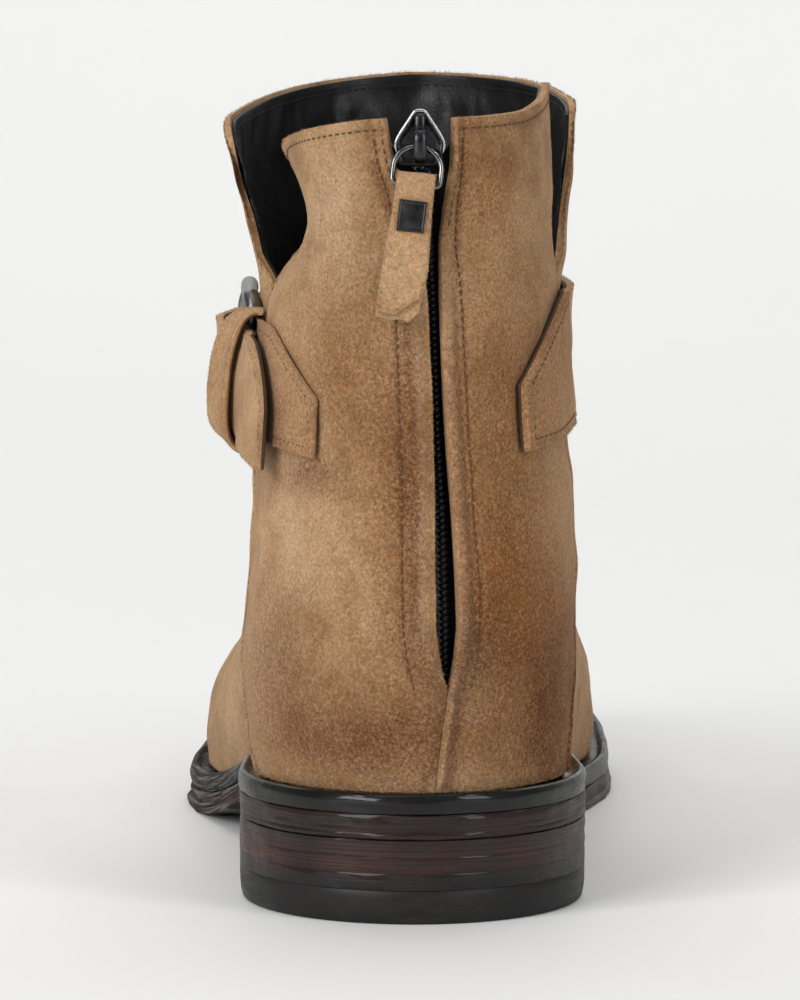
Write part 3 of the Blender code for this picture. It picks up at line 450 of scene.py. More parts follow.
def makeNapGroup():  # suede's nap: clouds and blotches in the dye, light fibre ends and dark pits, and their relief
    group, ins, result = newGroup("suedeNap", [
        ("Place", "vector", None), ("Light", "color", (0.5, 0.32, 0.17, 1)),
        ("Middle", "color", (0.35, 0.2, 0.1, 1)), ("Dark", "color", (0.2, 0.1, 0.05, 1))],
        [("Color", "color"), ("Height", "value"), ("Blotch", "value")])
    place = ins["Place"]
    cloud = noiseAt(group, place, 26, 3, 0.55)
    blotch = noiseAt(group, place, 130, 4, 0.6, 0.4)
    fibre = noiseAt(group, place, 1350, 3, 0.62, 0.2)
    pits = noiseAt(group, place, 2300, 2, 0.6)
    hue = noiseAt(group, place, 620, 2, 0.5)
    tone = plus(group, times(group, cloud, 0.55), times(group, blotch, 0.45))
    speck = plus(group, times(group, fibre, 0.55), times(group, pits, 0.45))
    color = blendColor(group, remap(group, tone, 0.38, 0.5), ins["Dark"], ins["Middle"])
    color = blendColor(group, remap(group, tone, 0.5, 0.62), color, ins["Light"])
    color = blendColor(group, 1.0, color, remap(group, speck, 0.35, 0.65, 0.66, 1.32), "MULTIPLY")
    color = blendColor(group, remap(group, speck, 0.57, 0.7, 0, 0.25), color, (0.5, 0.38, 0.25, 1))
    color = tinted(group, remap(group, hue, 0.42, 0.62), color, (1.03, 0.94, 0.88, 1))
    setInputs(group, result, {"Color": color, "Height": speck, "Blotch": blotch})
    return group


def makeDustGroup():  # grey dust and scuffs that gather in patches
    group, ins, result = newGroup("dust", [
        ("Color", "color", None), ("Place", "vector", None), ("Amount", "value", 0.3),
        ("Tint", "color", (0.4, 0.37, 0.34, 1))], [("Color", "color"), ("Mask", "value")])
    patch = noiseAt(group, ins["Place"], 160, 5, 0.65)
    grit = noiseAt(group, ins["Place"], 1400, 2, 0.5)
    mask = times(group, remap(group, patch, 0.42, 0.68), remap(group, grit, 0.35, 0.7))
    mask = times(group, mask, ins["Amount"], clamp=True)
    setInputs(group, result, {"Color": blendColor(group, mask, ins["Color"], ins["Tint"]), "Mask": mask})
    return group


napGroup, dustGroup = makeNapGroup(), makeDustGroup()


def suedeLook(name, light, middle, dark):  # nap, then the marks: places rubbed darker together with painted shade, russet places, pale places with painted highlights, and greyed places that are partly a painted sheen
    look, tree, shader, place = newLook(name, {
        "Roughness": 0.95, "Specular IOR Level": 0.1, "Sheen Weight": 0.14, "Sheen Roughness": 0.5,
        "Sheen Tint": (0.95, 0.8, 0.62, 1)})
    nap = useGroup(tree, napGroup, {"Place": place, "Light": light, "Middle": middle, "Dark": dark})
    uneven = times(tree, remap(tree, nap["Blotch"], 0.3, 0.7, 0.6, 1.3),
                   remap(tree, nap["Height"], 0.36, 0.6, 1.35, 0.65))
    color = nap["Color"]
    # burnish darkens to a purplish brown: rubbed dye, and painted shade in stitch lines, troughs, seams and under the
    # strap and buckle tab
    for label, factor in (("burnish", (0.54, 0.47, 0.46, 1)), ("russet", (0.57, 0.38, 0.22, 1))):
        color = tinted(tree, times(tree, mark(tree, label), uneven, clamp=True), color, factor)
    # pale lightens cut edges and paints highlights on raised lips and ridges; grey is partly a painted sheen on the
    # outer placket's ridge
    for label, factor in (("pale", (1.35, 1.42, 1.5, 1)), ("grey", (1.02, 1.12, 1.36, 1))):
        color = tinted(tree, mark(tree, label), color, factor)
    setInputs(tree, shader, {"Base Color": color})
    bump(tree, shader, nap["Height"], 0.55, 0.45)
    return look


def blackLeatherLook(name, tone, rough, grain):  # fine cells, soft folds and an uneven dye
    look, tree, shader, place = newLook(name, {
        "Specular IOR Level": 0.24, "Coat Weight": 0.05, "Coat Roughness": 0.3})
    cells = addNode(tree, "ShaderNodeTexVoronoi", {"Vector": place, "Scale": 900}, feature="DISTANCE_TO_EDGE")
    fold = noiseAt(tree, stretched(tree, place, (1, 1, 1.6)), 260, 4, 0.6)
    shade = noiseAt(tree, place, 45, 3, 0.6)
    setInputs(tree, shader, {
        "Base Color": blendColor(tree, remap(tree, shade, 0.35, 0.7), shaded(tone, 0.55), tone),
        "Roughness": remap(tree, fold, 0.3, 0.7, rough - 0.07, rough + 0.12)})
    height = plus(tree, remap(tree, cells.outputs[0], 0.0, 0.16), times(tree, fold, 2.2))
    bump(tree, shader, height, grain, 0.12)
    return look


def edgeLook(name, dark, warm, settings):  # trimmed, waxed leather edge: streaks along it, dye, dust, a wax coat
    look, tree, shader, place = newLook(name, {"Coat Roughness": 0.1, "Specular IOR Level": settings["gloss"]})
    worn, along, up = mark(tree, "wear"), mark(tree, "along"), mark(tree, "up")
    run = addNode(tree, "ShaderNodeCombineXYZ", {0: along, 1: up}).outputs[0]
    slant = addNode(tree, "ShaderNodeCombineXYZ", {0: along, 1: plus(tree, up, times(tree, along, 0.05))}).outputs[0]
    streak = noiseAt(tree, stretched(tree, run, (0.02, 1.6, 1)), 1.0, 5, 0.68, 0.25)
    thread = noiseAt(tree, stretched(tree, run, (0.10, 5.5, 1)), 1.0, 3, 0.6)
    scrape = noiseAt(tree, stretched(tree, slant, (0.05, 1.25, 1)), 1.0, 4, 0.65, 0.25)
    patch = noiseAt(tree, place, 60, 3, 0.6)
    lump = noiseAt(tree, place, 260, 2, 0.5)
    rubbed = times(tree, remap(tree, scrape, 0.47, 0.66), remap(tree, worn, 0.5, 0.9))
    color = blendColor(tree, remap(tree, streak, 0.4, 0.66), dark, warm)
    color = blendColor(tree, remap(tree, patch, 0.4, 0.7, 0, 0.6), color, dark)
    color = blendColor(tree, mark(tree, "ink"), color, (0.006, 0.0056, 0.0056, 1))
    color = blendColor(tree, rubbed, color, settings["rubbed"])
    dusted = useGroup(tree, dustGroup, {"Color": color, "Place": place, "Tint": settings["tint"],
                                        "Amount": times(tree, worn, settings["dust"])})
    rough = remap(tree, thread, 0.3, 0.7, settings["rough"] - 0.1, settings["rough"] + 0.14)
    rough = plus(tree, rough, times(tree, dusted["Mask"], 0.35))
    rough = plus(tree, rough, remap(tree, worn, 0.35, 0.8, 0.0, 0.35), clamp=True)
    setInputs(tree, shader, {"Base Color": dusted["Color"], "Roughness": rough,
                             "Coat Weight": remap(tree, worn, 0.25, 0.7, settings["coat"], 0.0)})
    height = plus(tree, times(tree, streak, 1.4), times(tree, thread, 0.7))
    height = plus(tree, height, times(tree, scrape, remap(tree, worn, 0.5, 0.9, 0.0, 2.4)))
    height = plus(tree, height, times(tree, lump, settings["lumps"]))
    bump(tree, shader, height, settings["relief"], 0.3)
    return look


def rubberLook(name, tone):  # fine grain, with upright wear and a little dust
    look, tree, shader, place = newLook(name, {"Specular IOR Level": 0.25})
    grain = noiseAt(tree, place, 1300, 3, 0.6)
    wear = noiseAt(tree, stretched(tree, place, (1, 1, 6)), 90, 4, 0.65)
    color = blendColor(tree, remap(tree, wear, 0.5, 0.75), tone, shaded(tone, 1.9))
    dusted = useGroup(tree, dustGroup, {
        "Color": color, "Place": place, "Amount": 0.1, "Tint": (0.1, 0.09, 0.085, 1)})
    setInputs(tree, shader, {"Base Color": dusted["Color"], "Roughness": remap(tree, wear, 0.3, 0.7, 0.38, 0.6)})
    bump(tree, shader, plus(tree, grain, wear), 0.25, 0.12)
    return look


def metalLook(name, tone, rough, worn):  # clouds of wear and fine scratches
    look, tree, shader, place = newLook(name, {"Metallic": 1.0})
    scratch = noiseAt(tree, stretched(tree, place, (300, 300, 2600)), 1.0, 3, 0.6)
    cloud = noiseAt(tree, place, 240, 4, 0.6)
    setInputs(tree, shader, {
        "Base Color": blendColor(tree, remap(tree, cloud, 0.4, 0.68, 0, 0.7), tone, worn),
        "Roughness": remap(tree, cloud, 0.3, 0.7, rough - 0.06, rough + 0.12)})
    bump(tree, shader, scratch, 0.08, 0.05)
    return look


def clothLook(name, tone):  # two slanting waves woven into each other
    look, tree, shader, place = newLook(name, {"Roughness": 0.85, "Sheen Weight": 0.2, "Specular IOR Level": 0.2})
    wales = [addNode(tree, "ShaderNodeTexWave", {
        "Vector": stretched(tree, place, (slant, 0, 1)), "Scale": 520, "Distortion": 0.4},
        bands_direction="DIAGONAL").outputs[1] for slant in (1, -1)]
    weave = calc(tree, "MAXIMUM", *wales)
    setInputs(tree, shader, {"Base Color": blendColor(tree, weave, shaded(tone, 0.4), tone)})
    bump(tree, shader, weave, 0.4, 0.15)
    return look


def threadLook(name, tone):  # the twist of the thread and uneven dye
    look, tree, shader, place = newLook(name, {"Roughness": 0.75, "Specular IOR Level": 0.2, "Sheen Weight": 0.04})
    ply = noiseAt(tree, stretched(tree, place, (2400, 2400, 1500)), 1.0, 2, 0.5)
    shade = noiseAt(tree, place, 150, 2, 0.5)
    setInputs(tree, shader, {"Base Color": blendColor(tree, times(tree, ply, shade), tone, shaded(tone, 0.45))})
    bump(tree, shader, ply, 0.5, 0.1)
    return look


def coilLook(name, tone):  # smooth nylon, a little uneven
    look, tree, shader, place = newLook(name, {"Specular IOR Level": 0.4})
    shade = noiseAt(tree, place, 700, 2, 0.5)
    setInputs(tree, shader, {
        "Base Color": blendColor(tree, remap(tree, shade, 0.4, 0.7), tone, shaded(tone, 2.2)),
        "Roughness": remap(tree, shade, 0.3, 0.7, 0.2, 0.38)})
    bump(tree, shader, shade, 0.1, 0.05)
    return look


suedeUpper = suedeLook("suedeUpper", (0.41, 0.27, 0.152, 1), (0.335, 0.207, 0.106, 1), (0.235, 0.128, 0.059, 1))
suedeStrap = suedeLook("suedeStrap", (0.42, 0.275, 0.155, 1), (0.36, 0.225, 0.12, 1), (0.28, 0.16, 0.08, 1))
liningBlack = blackLeatherLook("liningBlack", (0.0095, 0.009, 0.009, 1), 0.42, 0.2)
strapBrown = blackLeatherLook("strapBrown", (0.1, 0.06, 0.036, 1), 0.85, 0.2)
insoleBlack = blackLeatherLook("insoleBlack", (0.010, 0.009, 0.009, 1), 0.5, 0.2)
weltLook = edgeLook("weltLook", (0.0035, 0.0032, 0.0032, 1), (0.007, 0.0055, 0.0052, 1), {
    "coat": 0.5, "gloss": 0.1, "dust": 0.12, "rough": 0.2, "relief": 0.4, "lumps": 2.6,
    "tint": (0.065, 0.058, 0.054, 1), "rubbed": (0.16, 0.15, 0.14, 1)})
outsoleLook = edgeLook("outsoleLook", (0.009, 0.0065, 0.006, 1), (0.055, 0.021, 0.015, 1), {
    "coat": 0.3, "gloss": 0.14, "dust": 0.3, "rough": 0.32, "relief": 0.8, "lumps": 1.6,
    "tint": (0.07, 0.06, 0.055, 1), "rubbed": (0.19, 0.175, 0.16, 1)})
heelLook = edgeLook("heelLook", (0.011, 0.0068, 0.006, 1), (0.078, 0.024, 0.016, 1), {
    "coat": 0.35, "gloss": 0.13, "dust": 0.15, "rough": 0.32, "relief": 0.8, "lumps": 1.4,
    "tint": (0.07, 0.055, 0.05, 1), "rubbed": (0.1, 0.085, 0.08, 1)})
liftRubber = rubberLook("liftRubber", (0.0095, 0.0085, 0.0083, 1))
gunmetal = metalLook("gunmetal", (0.17, 0.17, 0.175, 1), 0.34, (0.33, 0.33, 0.33, 1))
# nickel: brighter metal for the slider's rim, a painted highlight along its top edge
nickel = metalLook("nickel", (0.4, 0.4, 0.41, 1), 0.16, (0.65, 0.65, 0.65, 1))
ringNickel = metalLook("ringNickel", (0.15, 0.15, 0.155, 1), 0.15, (0.28, 0.28, 0.28, 1))
darkNickel = metalLook("darkNickel", (0.035, 0.035, 0.038, 1), 0.26, (0.09, 0.09, 0.09, 1))
zipCloth = clothLook("zipCloth", (0.006, 0.006, 0.0065, 1))
zipNylon = coilLook("zipNylon", (0.006, 0.006, 0.0065, 1))
tanThread = threadLook("tanThread", (0.11, 0.056, 0.025, 1))
blackThread = threadLook("blackThread", (0.014, 0.013, 0.012, 1))
print("looks made")

# upper: suede panels over a black lining

panelSettings = {"suedeUnder": 0.8, "overVamp": 1.45, "edgeRound": 0.45, "liningThick": 0.74, "liningRound": 0.3,
                 "quarterCols": 84, "vampCols": 214, "quarterRows": 120, "vampRows": 140, "liningFineness": 0.7,
                 "placketOuter": 7.0, "placketInner": 4.9, "collarStitch": 2.3, "seamStitch": 2.0,
                 "flapWide": 190.0, "flapCorner": 9.0, "placketClose": 0.52, "liningLow": 0.9,
                 "creaseMmPerTurn": 300}
creases = [  # turn and height of both ends, depth (a ridge if negative), half width
    (0.03, 80, 0.17, 72, 0.5, 5.0), (0.06, 92, 0.19, 84, 0.7, 4.5), (0.97, 86, 0.83, 78, 0.6, 5.0),
    (0.95, 104, 0.86, 92, 0.4, 4.0), (0.40, 96, 0.60, 96, 1.2, 5.0), (0.38, 84, 0.62, 84, -0.9, 5.0),
    (0.39, 75, 0.61, 75, 1.0, 4.5), (0.03, 140, 0.08, 150, 0.35, 5.0), (0.93, 132, 0.88, 150, 0.4, 5.0),
]
shadeSpots = {  # x, z, half width, half height, amount: how the dye is rubbed, reddened, paled and greyed on the back, with painted shade among the darkened spots
    "burnish": [
        (-29, 53, 8, 11, 0.75), (-27, 66, 8, 8, 0.35), (-4, 60, 13, 7, 0.35), (-12, 38, 20, 7, 0.8),
        (6, 52, 6, 7, 0.75), (14, 56, 6, 9, 0.7), (21, 80, 4, 14, 0.2), (27, 40, 7, 12, 0.35),
        # (-21.5, 93): a painted shadow under the buckle tab and the strap's tip
        (-3, 92, 6, 36, 0.55), (-12, 118, 8, 22, 0.3), (-21.5, 93, 6.5, 4.5, 0.95), (32, 42, 5.5, 22, 0.9),
        (-9, 143, 7, 15, 0.3)],
    "russet": [
        (31, 42, 9, 24, 1.0), (20, 66, 9, 20, 0.75), (14, 155, 9, 16, 0.5), (-10, 100, 9, 26, 0.25),
        (18, 104, 14, 34, 0.75), (4, 38, 22, 9, 0.35), (-3, 84, 5, 30, 0.45), (-18, 120, 9, 14, 0.35)],
    "pale": [(18, 150, 9, 16, 0.25), (-23, 88, 7, 16, 0.35), (-17, 147, 5, 18, 0.35), (-12, 62, 5, 5, 0.25)],
    "grey": [(-17, 147, 5, 18, 0.5), (-26, 88, 8, 18, 0.25), (9, 52, 4, 6, 0.5)],
}


def panelTurn(kind, share, level):  # the turn for a share 0 to 1 across a panel
    half, place, _ = zipAt(level)
    if kind == "outerQuarter":
        start, end = place + half, quarterEdge(level, True)
    elif kind == "innerQuarter":
        start, end = 1 - quarterEdge(level, False), 1 + place - half
    else:
        start, end = vampEdge(level, True), 1 - vampEdge(level, False)
    return start + share * (end - start)


def packed(count, length, bothEnds=True):  # shares 0 to 1 with close steps at the cut edges
    fine = np.array([0, 0.1, 0.25, 0.45, 0.75, 1.2, 1.8]) / length
    first = fine if bothEnds else np.zeros(1)
    return np.concatenate([first, np.linspace(first[-1], 1 - fine[-1], count)[1:-1], 1 - fine[::-1]])


def walked(points):  # millimetres from the left, right, top and foot of a grid
    across = np.linalg.norm(np.diff(points, axis=1), axis=-1).cumsum(axis=1)
    left = np.concatenate([np.zeros((len(points), 1)), across], axis=1)
    upward = np.linalg.norm(np.diff(points, axis=0), axis=-1).cumsum(axis=0)
    foot = np.concatenate([np.zeros((1, points.shape[1])), upward])
    return left, left[:, -1:] - left, foot[-1:] - foot, foot


def rollOff(edge, radius):  # how far a rounded edge falls, by the distance from the cut
    inside = np.clip(edge, 0, radius)
    return radius - np.sqrt(np.maximum(radius**2 - (radius - inside) ** 2, 0))


def cutEdge(near):  # 1 at a cut edge, where the fibres are pale, fading inwards
    return 1 - smoothStep(near, 0.1, 0.7)


def creaseRelief(turn, z):  # troughs and ridges along straight lines of turn and height
    relief = np.zeros(np.shape(z))
    perTurn = panelSettings["creaseMmPerTurn"]
    for turnA, zA, turnB, zB, depth, wide in creases:
        ax, az, bx, bz = turnA * perTurn, zA, turnB * perTurn, zB
        length = math.hypot(bx - ax, bz - az)
        x, y = (turn % 1) * perTurn - ax, z - az
        share = np.clip((x * (bx - ax) + y * (bz - az)) / length**2, -0.3, 1.3)
        gap = np.hypot(x - share * (bx - ax), y - share * (bz - az))
        relief -= depth * bell(gap, wide) * smoothStep(share, -0.25, 0.2) * (1 - smoothStep(share, 0.8, 1.25))
    return relief


def panelGrid(kind, fineness=1.0):  # turn and level over a panel, its top row lowered to the collar's line
    quarter = kind != "vamp"
    name, length = ("quarter", 75) if quarter else ("vamp", 300)
    cols = packed(int(panelSettings[name + "Cols"] * fineness), length)
    rows = top * packed(int(panelSettings[name + "Rows"] * fineness), topRise * top, False)
    level, share = np.meshgrid(rows, cols, indexing="ij")
    turn = panelTurn(kind, share, level)
    drop = np.interp(turn % 1, collarDrop[:, 0], collarDrop[:, 1])
    if not quarter:
        drop = drop + rollOff(np.minimum(share, 1 - share) * panelSettings["flapWide"], panelSettings["flapCorner"])
    return turn, level - drop / topRise * smoothStep(level, last["slotFoot"], top)


def placketAt(kind, down):  # how far the row of stitches lies from the zip's edge, closer near the collar
    wide = panelSettings["placketOuter" if kind == "outerQuarter" else "placketInner"]
    return wide * (1 - panelSettings["placketClose"] * (1 - smoothStep(down, 8, 46)))


def quarterForm(kind, level, z, zipSide, seamSide, down, foot):
    # relief and marks of a quarter by the distance from its edges: the zip's placket, the lap below, the side seam,
    # with painted shade in their troughs and stitch lines and painted highlights on their lips and ridges
    outerSide, slot, zipFoot = kind == "outerQuarter", last["slotFoot"], last["zipFoot"]
    line, seam = placketAt(kind, down), panelSettings["seamStitch"]
    opened = smoothStep(level, zipFoot - 0.4, zipFoot + 0.6)
    lapped = 1 - opened
    sewn = 1 - smoothStep(level, slot - 1.2, slot - 0.6)
    middle = smoothStep(z, 50, 64) * (1 - smoothStep(z, 112, 138))
    band = 0.5 * bell(zipSide - 0.36 * line, 0.24 * line) - 0.35 * bell(zipSide - 0.72 * line, 0.2 * line)
    lip = -0.45 * bell(zipSide - 0.4, 1.0) if outerSide else 1.5 * bell(zipSide - 0.8, 0.75)
    relief = opened * band + lapped * lip * smoothStep(foot, 0, 4)
    relief -= 0.3 * bell(zipSide - line, 0.55) * smoothStep(level, zipFoot - 0.3, zipFoot + 0.2)
    relief += sewn * 0.5 * bell(seamSide - 0.75, 0.8)  # the seam's edge stands proud of its pulled-in stitches
    relief -= (0.25 + 0.4 * sewn) * bell(seamSide - seam, 0.6)
    # painted shadow beside the lap's raised lip below the zip, and painted shade along the placket's stitch line
    burnish = lapped * 0.7 * bell(zipSide - 2.5, 1.1) + 0.7 * opened * bell(zipSide - line, 0.45)
    # painted shade along the second row of stitches near the collar and in the side seam's stitch line
    burnish += 0.6 * bell(zipSide - 1.2, 0.4) * (1 - smoothStep(down, 22, 26)) + bell(seamSide - seam - 0.1, 0.6)
    pale = 0.45 * bell(zipSide - 0.2, 0.4) * opened + 0.35 * sewn * bell(seamSide - 0.75, 0.6)
    if outerSide:
        # painted shade in the trough beside the placket's ridge, and grey as a painted sheen along the ridge
        burnish += 0.7 * opened * bell(zipSide - 4.6, 1.1)
        grey = 0.85 * middle * bell(zipSide - 2.6, 0.9)
    else:
        # painted shade in the trough beside the placket's ridge
        burnish += 0.45 * opened * bell(zipSide - 3.0, 1.2)
        grey = 0.6 * middle * bell(zipSide - 1.1, 1.0)
        # painted highlights on the raised lip below the zip and on the stitched ridge
        pale += 0.55 * lapped * bell(zipSide - 0.8, 0.5) + 0.4 * opened * bell(zipSide - line + 0.5, 0.5)
    return relief, {"burnish": burnish, "pale": pale, "grey": grey}


def suedePanel(kind):  # a panel's two faces: the wall's height with its relief outside, an even sheet inside
    quarter, slot, collar = kind != "vamp", last["slotFoot"], panelSettings["collarStitch"]
    turn, level = panelGrid(kind)
    thick = last["vampWall"] + quarter * last["quarterStep"] * (1 - 0.7 * smoothStep(level, slot, slot + 1))
    flat = onUpper(turn, level, thick)
    left, right, down, foot = walked(flat)
    x, y, z = np.moveaxis(flat, -1, 0)
    edge = np.minimum(np.minimum(left, right), down)
    under = np.full(turn.shape, panelSettings["suedeUnder"])
    relief = 0.14 * softNoise(flat, 9, 3) + 0.22 * softNoise(flat, 26, 4) + creaseRelief(turn, z)
    relief = relief * smoothStep(foot, 0, 6) - 0.3 * bell(down - collar, 0.45)
    marks = {name: np.zeros(turn.shape) for name in ("burnish", "russet", "pale", "grey")}
    # painted shade in the collar's sunk stitch line
    marks["burnish"] += 0.5 * bell(down - collar, 0.4)
    if quarter:
        zipSide, seamSide = (left, right) if kind == "outerQuarter" else (right, left)
        ownRelief, ownMarks = quarterForm(kind, level, z, zipSide, seamSide, down, foot)
        relief += ownRelief
        for name, values in ownMarks.items():
            marks[name] += values
        lap = (1 - smoothStep(seamSide, 6.5, 9)) * (1 - smoothStep(level, slot - 0.4, slot))
        under += panelSettings["overVamp"] * lap  # the quarter lies over the vamp at its front edge
    else:
        # darker near the foot and towards the toe
        marks["burnish"] += 0.35 * bell(foot - 3, 9) + 0.2 * smoothStep(y, 200, 250)
        beside = bell(left - 5.8, 1.2) + bell(right - 5.8, 1.2)  # shade beside the quarters' edges
        marks["burnish"] += 0.8 * beside * (1 - smoothStep(level, slot - 1.0, slot - 0.4))
    back = 1 - smoothStep(y, 20, 50)
    for name, spots in shadeSpots.items():
        for spotX, spotZ, wide, high, amount in spots:
            marks[name] += amount * back * bell(x - spotX, wide) * bell(z - spotZ, high)
    # darker towards the foot of the back
    marks["burnish"] += 0.3 * back * (1 - smoothStep(z, 38, 64))
    marks["pale"] += 0.3 * bell(foot - 1.2, 2.2) + 0.35 * (1 - smoothStep(edge, 0.1, 0.5))
    height = thick + relief - rollOff(edge, panelSettings["edgeRound"])
    return {"turn": turn, "level": level, "left": left, "right": right, "down": down,
            "outer": onUpper(turn, level, height), "inner": onUpper(turn, level, under),
            "marks": {name: np.clip(values, 0, 1) for name, values in marks.items()}}


def liningPanel(kind):  # a thin sheet inside the suede, rippled under the collar where the flap is
    turn, level = panelGrid(kind, panelSettings["liningFineness"])
    level = level - panelSettings["liningLow"] / topRise * smoothStep(level, last["slotFoot"], top)
    flat = onUpper(turn, level, np.zeros(turn.shape))
    left, right, down, _ = walked(flat)
    edge = np.minimum(np.minimum(left, right), down)
    ripple = 0.3 * np.sin(left / 2.1 + 2.2 * softNoise(flat, 22, 8))
    ripple += 0.16 * np.sin(left / 0.85 + 3.2 * softNoise(flat, 13, 9))
    ripple *= bell(down - 6.5, 3.2) * (kind == "vamp")
    inner = rollOff(edge, panelSettings["liningRound"]) - 0.12 * softNoise(flat, 12, 6) - ripple
    inner += 0.45 * bell(down - 3.6, 0.7)  # the sewn line under the collar
    outer = onUpper(turn, level, np.full(turn.shape, panelSettings["liningThick"]))
    return {"turn": turn, "level": level, "outer": outer, "inner": onUpper(turn, level, inner),
            "left": left, "right": right, "down": down}


suedePanels = {kind: suedePanel(kind) for kind in ("outerQuarter", "innerQuarter", "vamp")}
for kind, panel in suedePanels.items():
    makePiece(kind + "Suede", *sheetParts(panel["outer"], panel["inner"]), suedeUpper, "boot", ["upper"], "suede",
              bothFaces(panel["marks"]))
liningPanels = {kind: liningPanel(kind) for kind in suedePanels}
parts = [sheetParts(panel["outer"], panel["inner"]) for panel in liningPanels.values()]
makePiece("liningLeather", *joinParts(parts), liningBlack, "boot", ["upper"], "insole_leather")
print("upper made")

# stitches

stitchSettings = {"pitch": 1.85, "length": 1.4, "radius": 0.19, "sink": 0.12, "lift": 0.15, "rings": 7, "sides": 6,
                  "belowCollar": 2.6, "secondRow": 1.2, "secondRowLong": 24, "flapRow": 2.2, "liningRow": 2.3,
                  "liningTop": 2.4}
flapStitch = {**stitchSettings, "radius": 0.15, "sink": 0.16, "lift": 0.1}
liningStitch = {**stitchSettings, "radius": 0.2}


def stitchRow(path, normals, settings):  # one bowed thread a stitch, with its ends sunk in the leather
    rings, sides = settings["rings"], settings["sides"]
    way = wayAlong(path)
    count = int(way[-1] / settings["pitch"])
    part = np.linspace(-1, 1, rings)
    at = ((np.arange(count) + 0.5) * way[-1] / count)[:, None] + part * settings["length"] / 2
    place, normal = readAlong(at, way, path), unit(readAlong(at, way, normals))
    side = np.cross(unit(np.gradient(place, axis=1)), normal)
    bow = settings["lift"] * (1 - part**4) - settings["sink"]
    size = settings["radius"] * np.sqrt(np.maximum(1 - part**6, 0.12))
    angle = np.linspace(0, 2 * math.pi, sides, endpoint=False)
    ring = np.cos(angle)[:, None] * side[:, :, None] + np.sin(angle)[:, None] * normal[:, :, None]
    points = place[:, :, None] + normal[:, :, None] * bow[:, None, None] + ring * size[:, None, None]
    first = np.arange(count)[:, None] * rings * sides
    quads = (gridFaces(rings, sides, wrapCols=True) + first[..., None]).reshape(-1, 4).tolist()
    start, end = endCaps(rings, sides)
    return points.reshape(-1, 3), quads + (first + start).tolist() + (first + end).tolist()


def lineAt(distance, value, *fields):  # the fields where each row of a grid first reaches a distance
    value = np.broadcast_to(value, len(distance))
    index = np.clip((distance < value[:, None]).sum(axis=1), 1, distance.shape[1] - 1)
    rows = np.arange(len(distance))
    low, high = distance[rows, index - 1], distance[rows, index]
    share = np.clip((value - low) / np.maximum(high - low, 1e-6), 0, 1)[:, None]
    return [field[rows, index - 1] * (1 - share) + field[rows, index] * share for field in fields]


def panelLine(panel, side, value, face="outer", aboveLevel=-1.0, belowTop=-1.0, length=1e3, fromSides=-1.0):
    # points and normals along a line a fixed distance from one side of a panel, where the limits hold
    normal = outward(panel["turn"], np.clip(panel["level"], 0, top)) * (1 if face == "outer" else -1)
    fields = [panel[face], normal] + [panel[key][..., None] for key in ("level", "left", "right", "down")]
    if side == "left":
        line = lineAt(panel["left"], value, *fields)
    elif side == "right":
        line = lineAt(panel["right"][:, ::-1], value, *[field[:, ::-1] for field in fields])
    else:
        line = lineAt(panel["down"][::-1].T, value, *[np.swapaxes(field[::-1], 0, 1) for field in fields])
    level, left, right, down = (field[:, 0] for field in line[2:])
    keep = (level > aboveLevel) & (down > belowTop) & (down < length) & (np.minimum(left, right) > fromSides)
    return line[0][keep], line[1][keep]


tanRows, flapRows, blackRows = [], [], []
slotLevel, below = last["slotFoot"] + 0.2, stitchSettings["belowCollar"]
for kind in ("outerQuarter", "innerQuarter"):
    panel = suedePanels[kind]
    zipSide, seamSide, column = ("left", "right", 0) if kind == "outerQuarter" else ("right", "left", -1)
    placket = placketAt(kind, panel["down"][:, column])
    tanRows += [
        panelLine(panel, zipSide, placket, aboveLevel=last["zipFoot"] - 0.1, belowTop=below),
        panelLine(panel, zipSide, stitchSettings["secondRow"], belowTop=below,
                  length=stitchSettings["secondRowLong"]),
        panelLine(panel, seamSide, panelSettings["seamStitch"], aboveLevel=0.15, belowTop=below),
        panelLine(panel, "top", panelSettings["collarStitch"], fromSides=1.8)]
flap, inside = suedePanels["vamp"], liningPanels["vamp"]
flapRows.append(panelLine(flap, "top", panelSettings["collarStitch"], fromSides=2.0))
blackRows.append(panelLine(inside, "top", stitchSettings["liningTop"], "inner", fromSides=2.2))
for side in ("left", "right"):
    flapRows.append(panelLine(flap, side, stitchSettings["flapRow"], aboveLevel=slotLevel + 0.3, belowTop=below))
    blackRows.append(panelLine(inside, side, stitchSettings["liningRow"], "inner", slotLevel + 0.4, below))
print("stitch lines found")

# strap, buckle tab and keeper

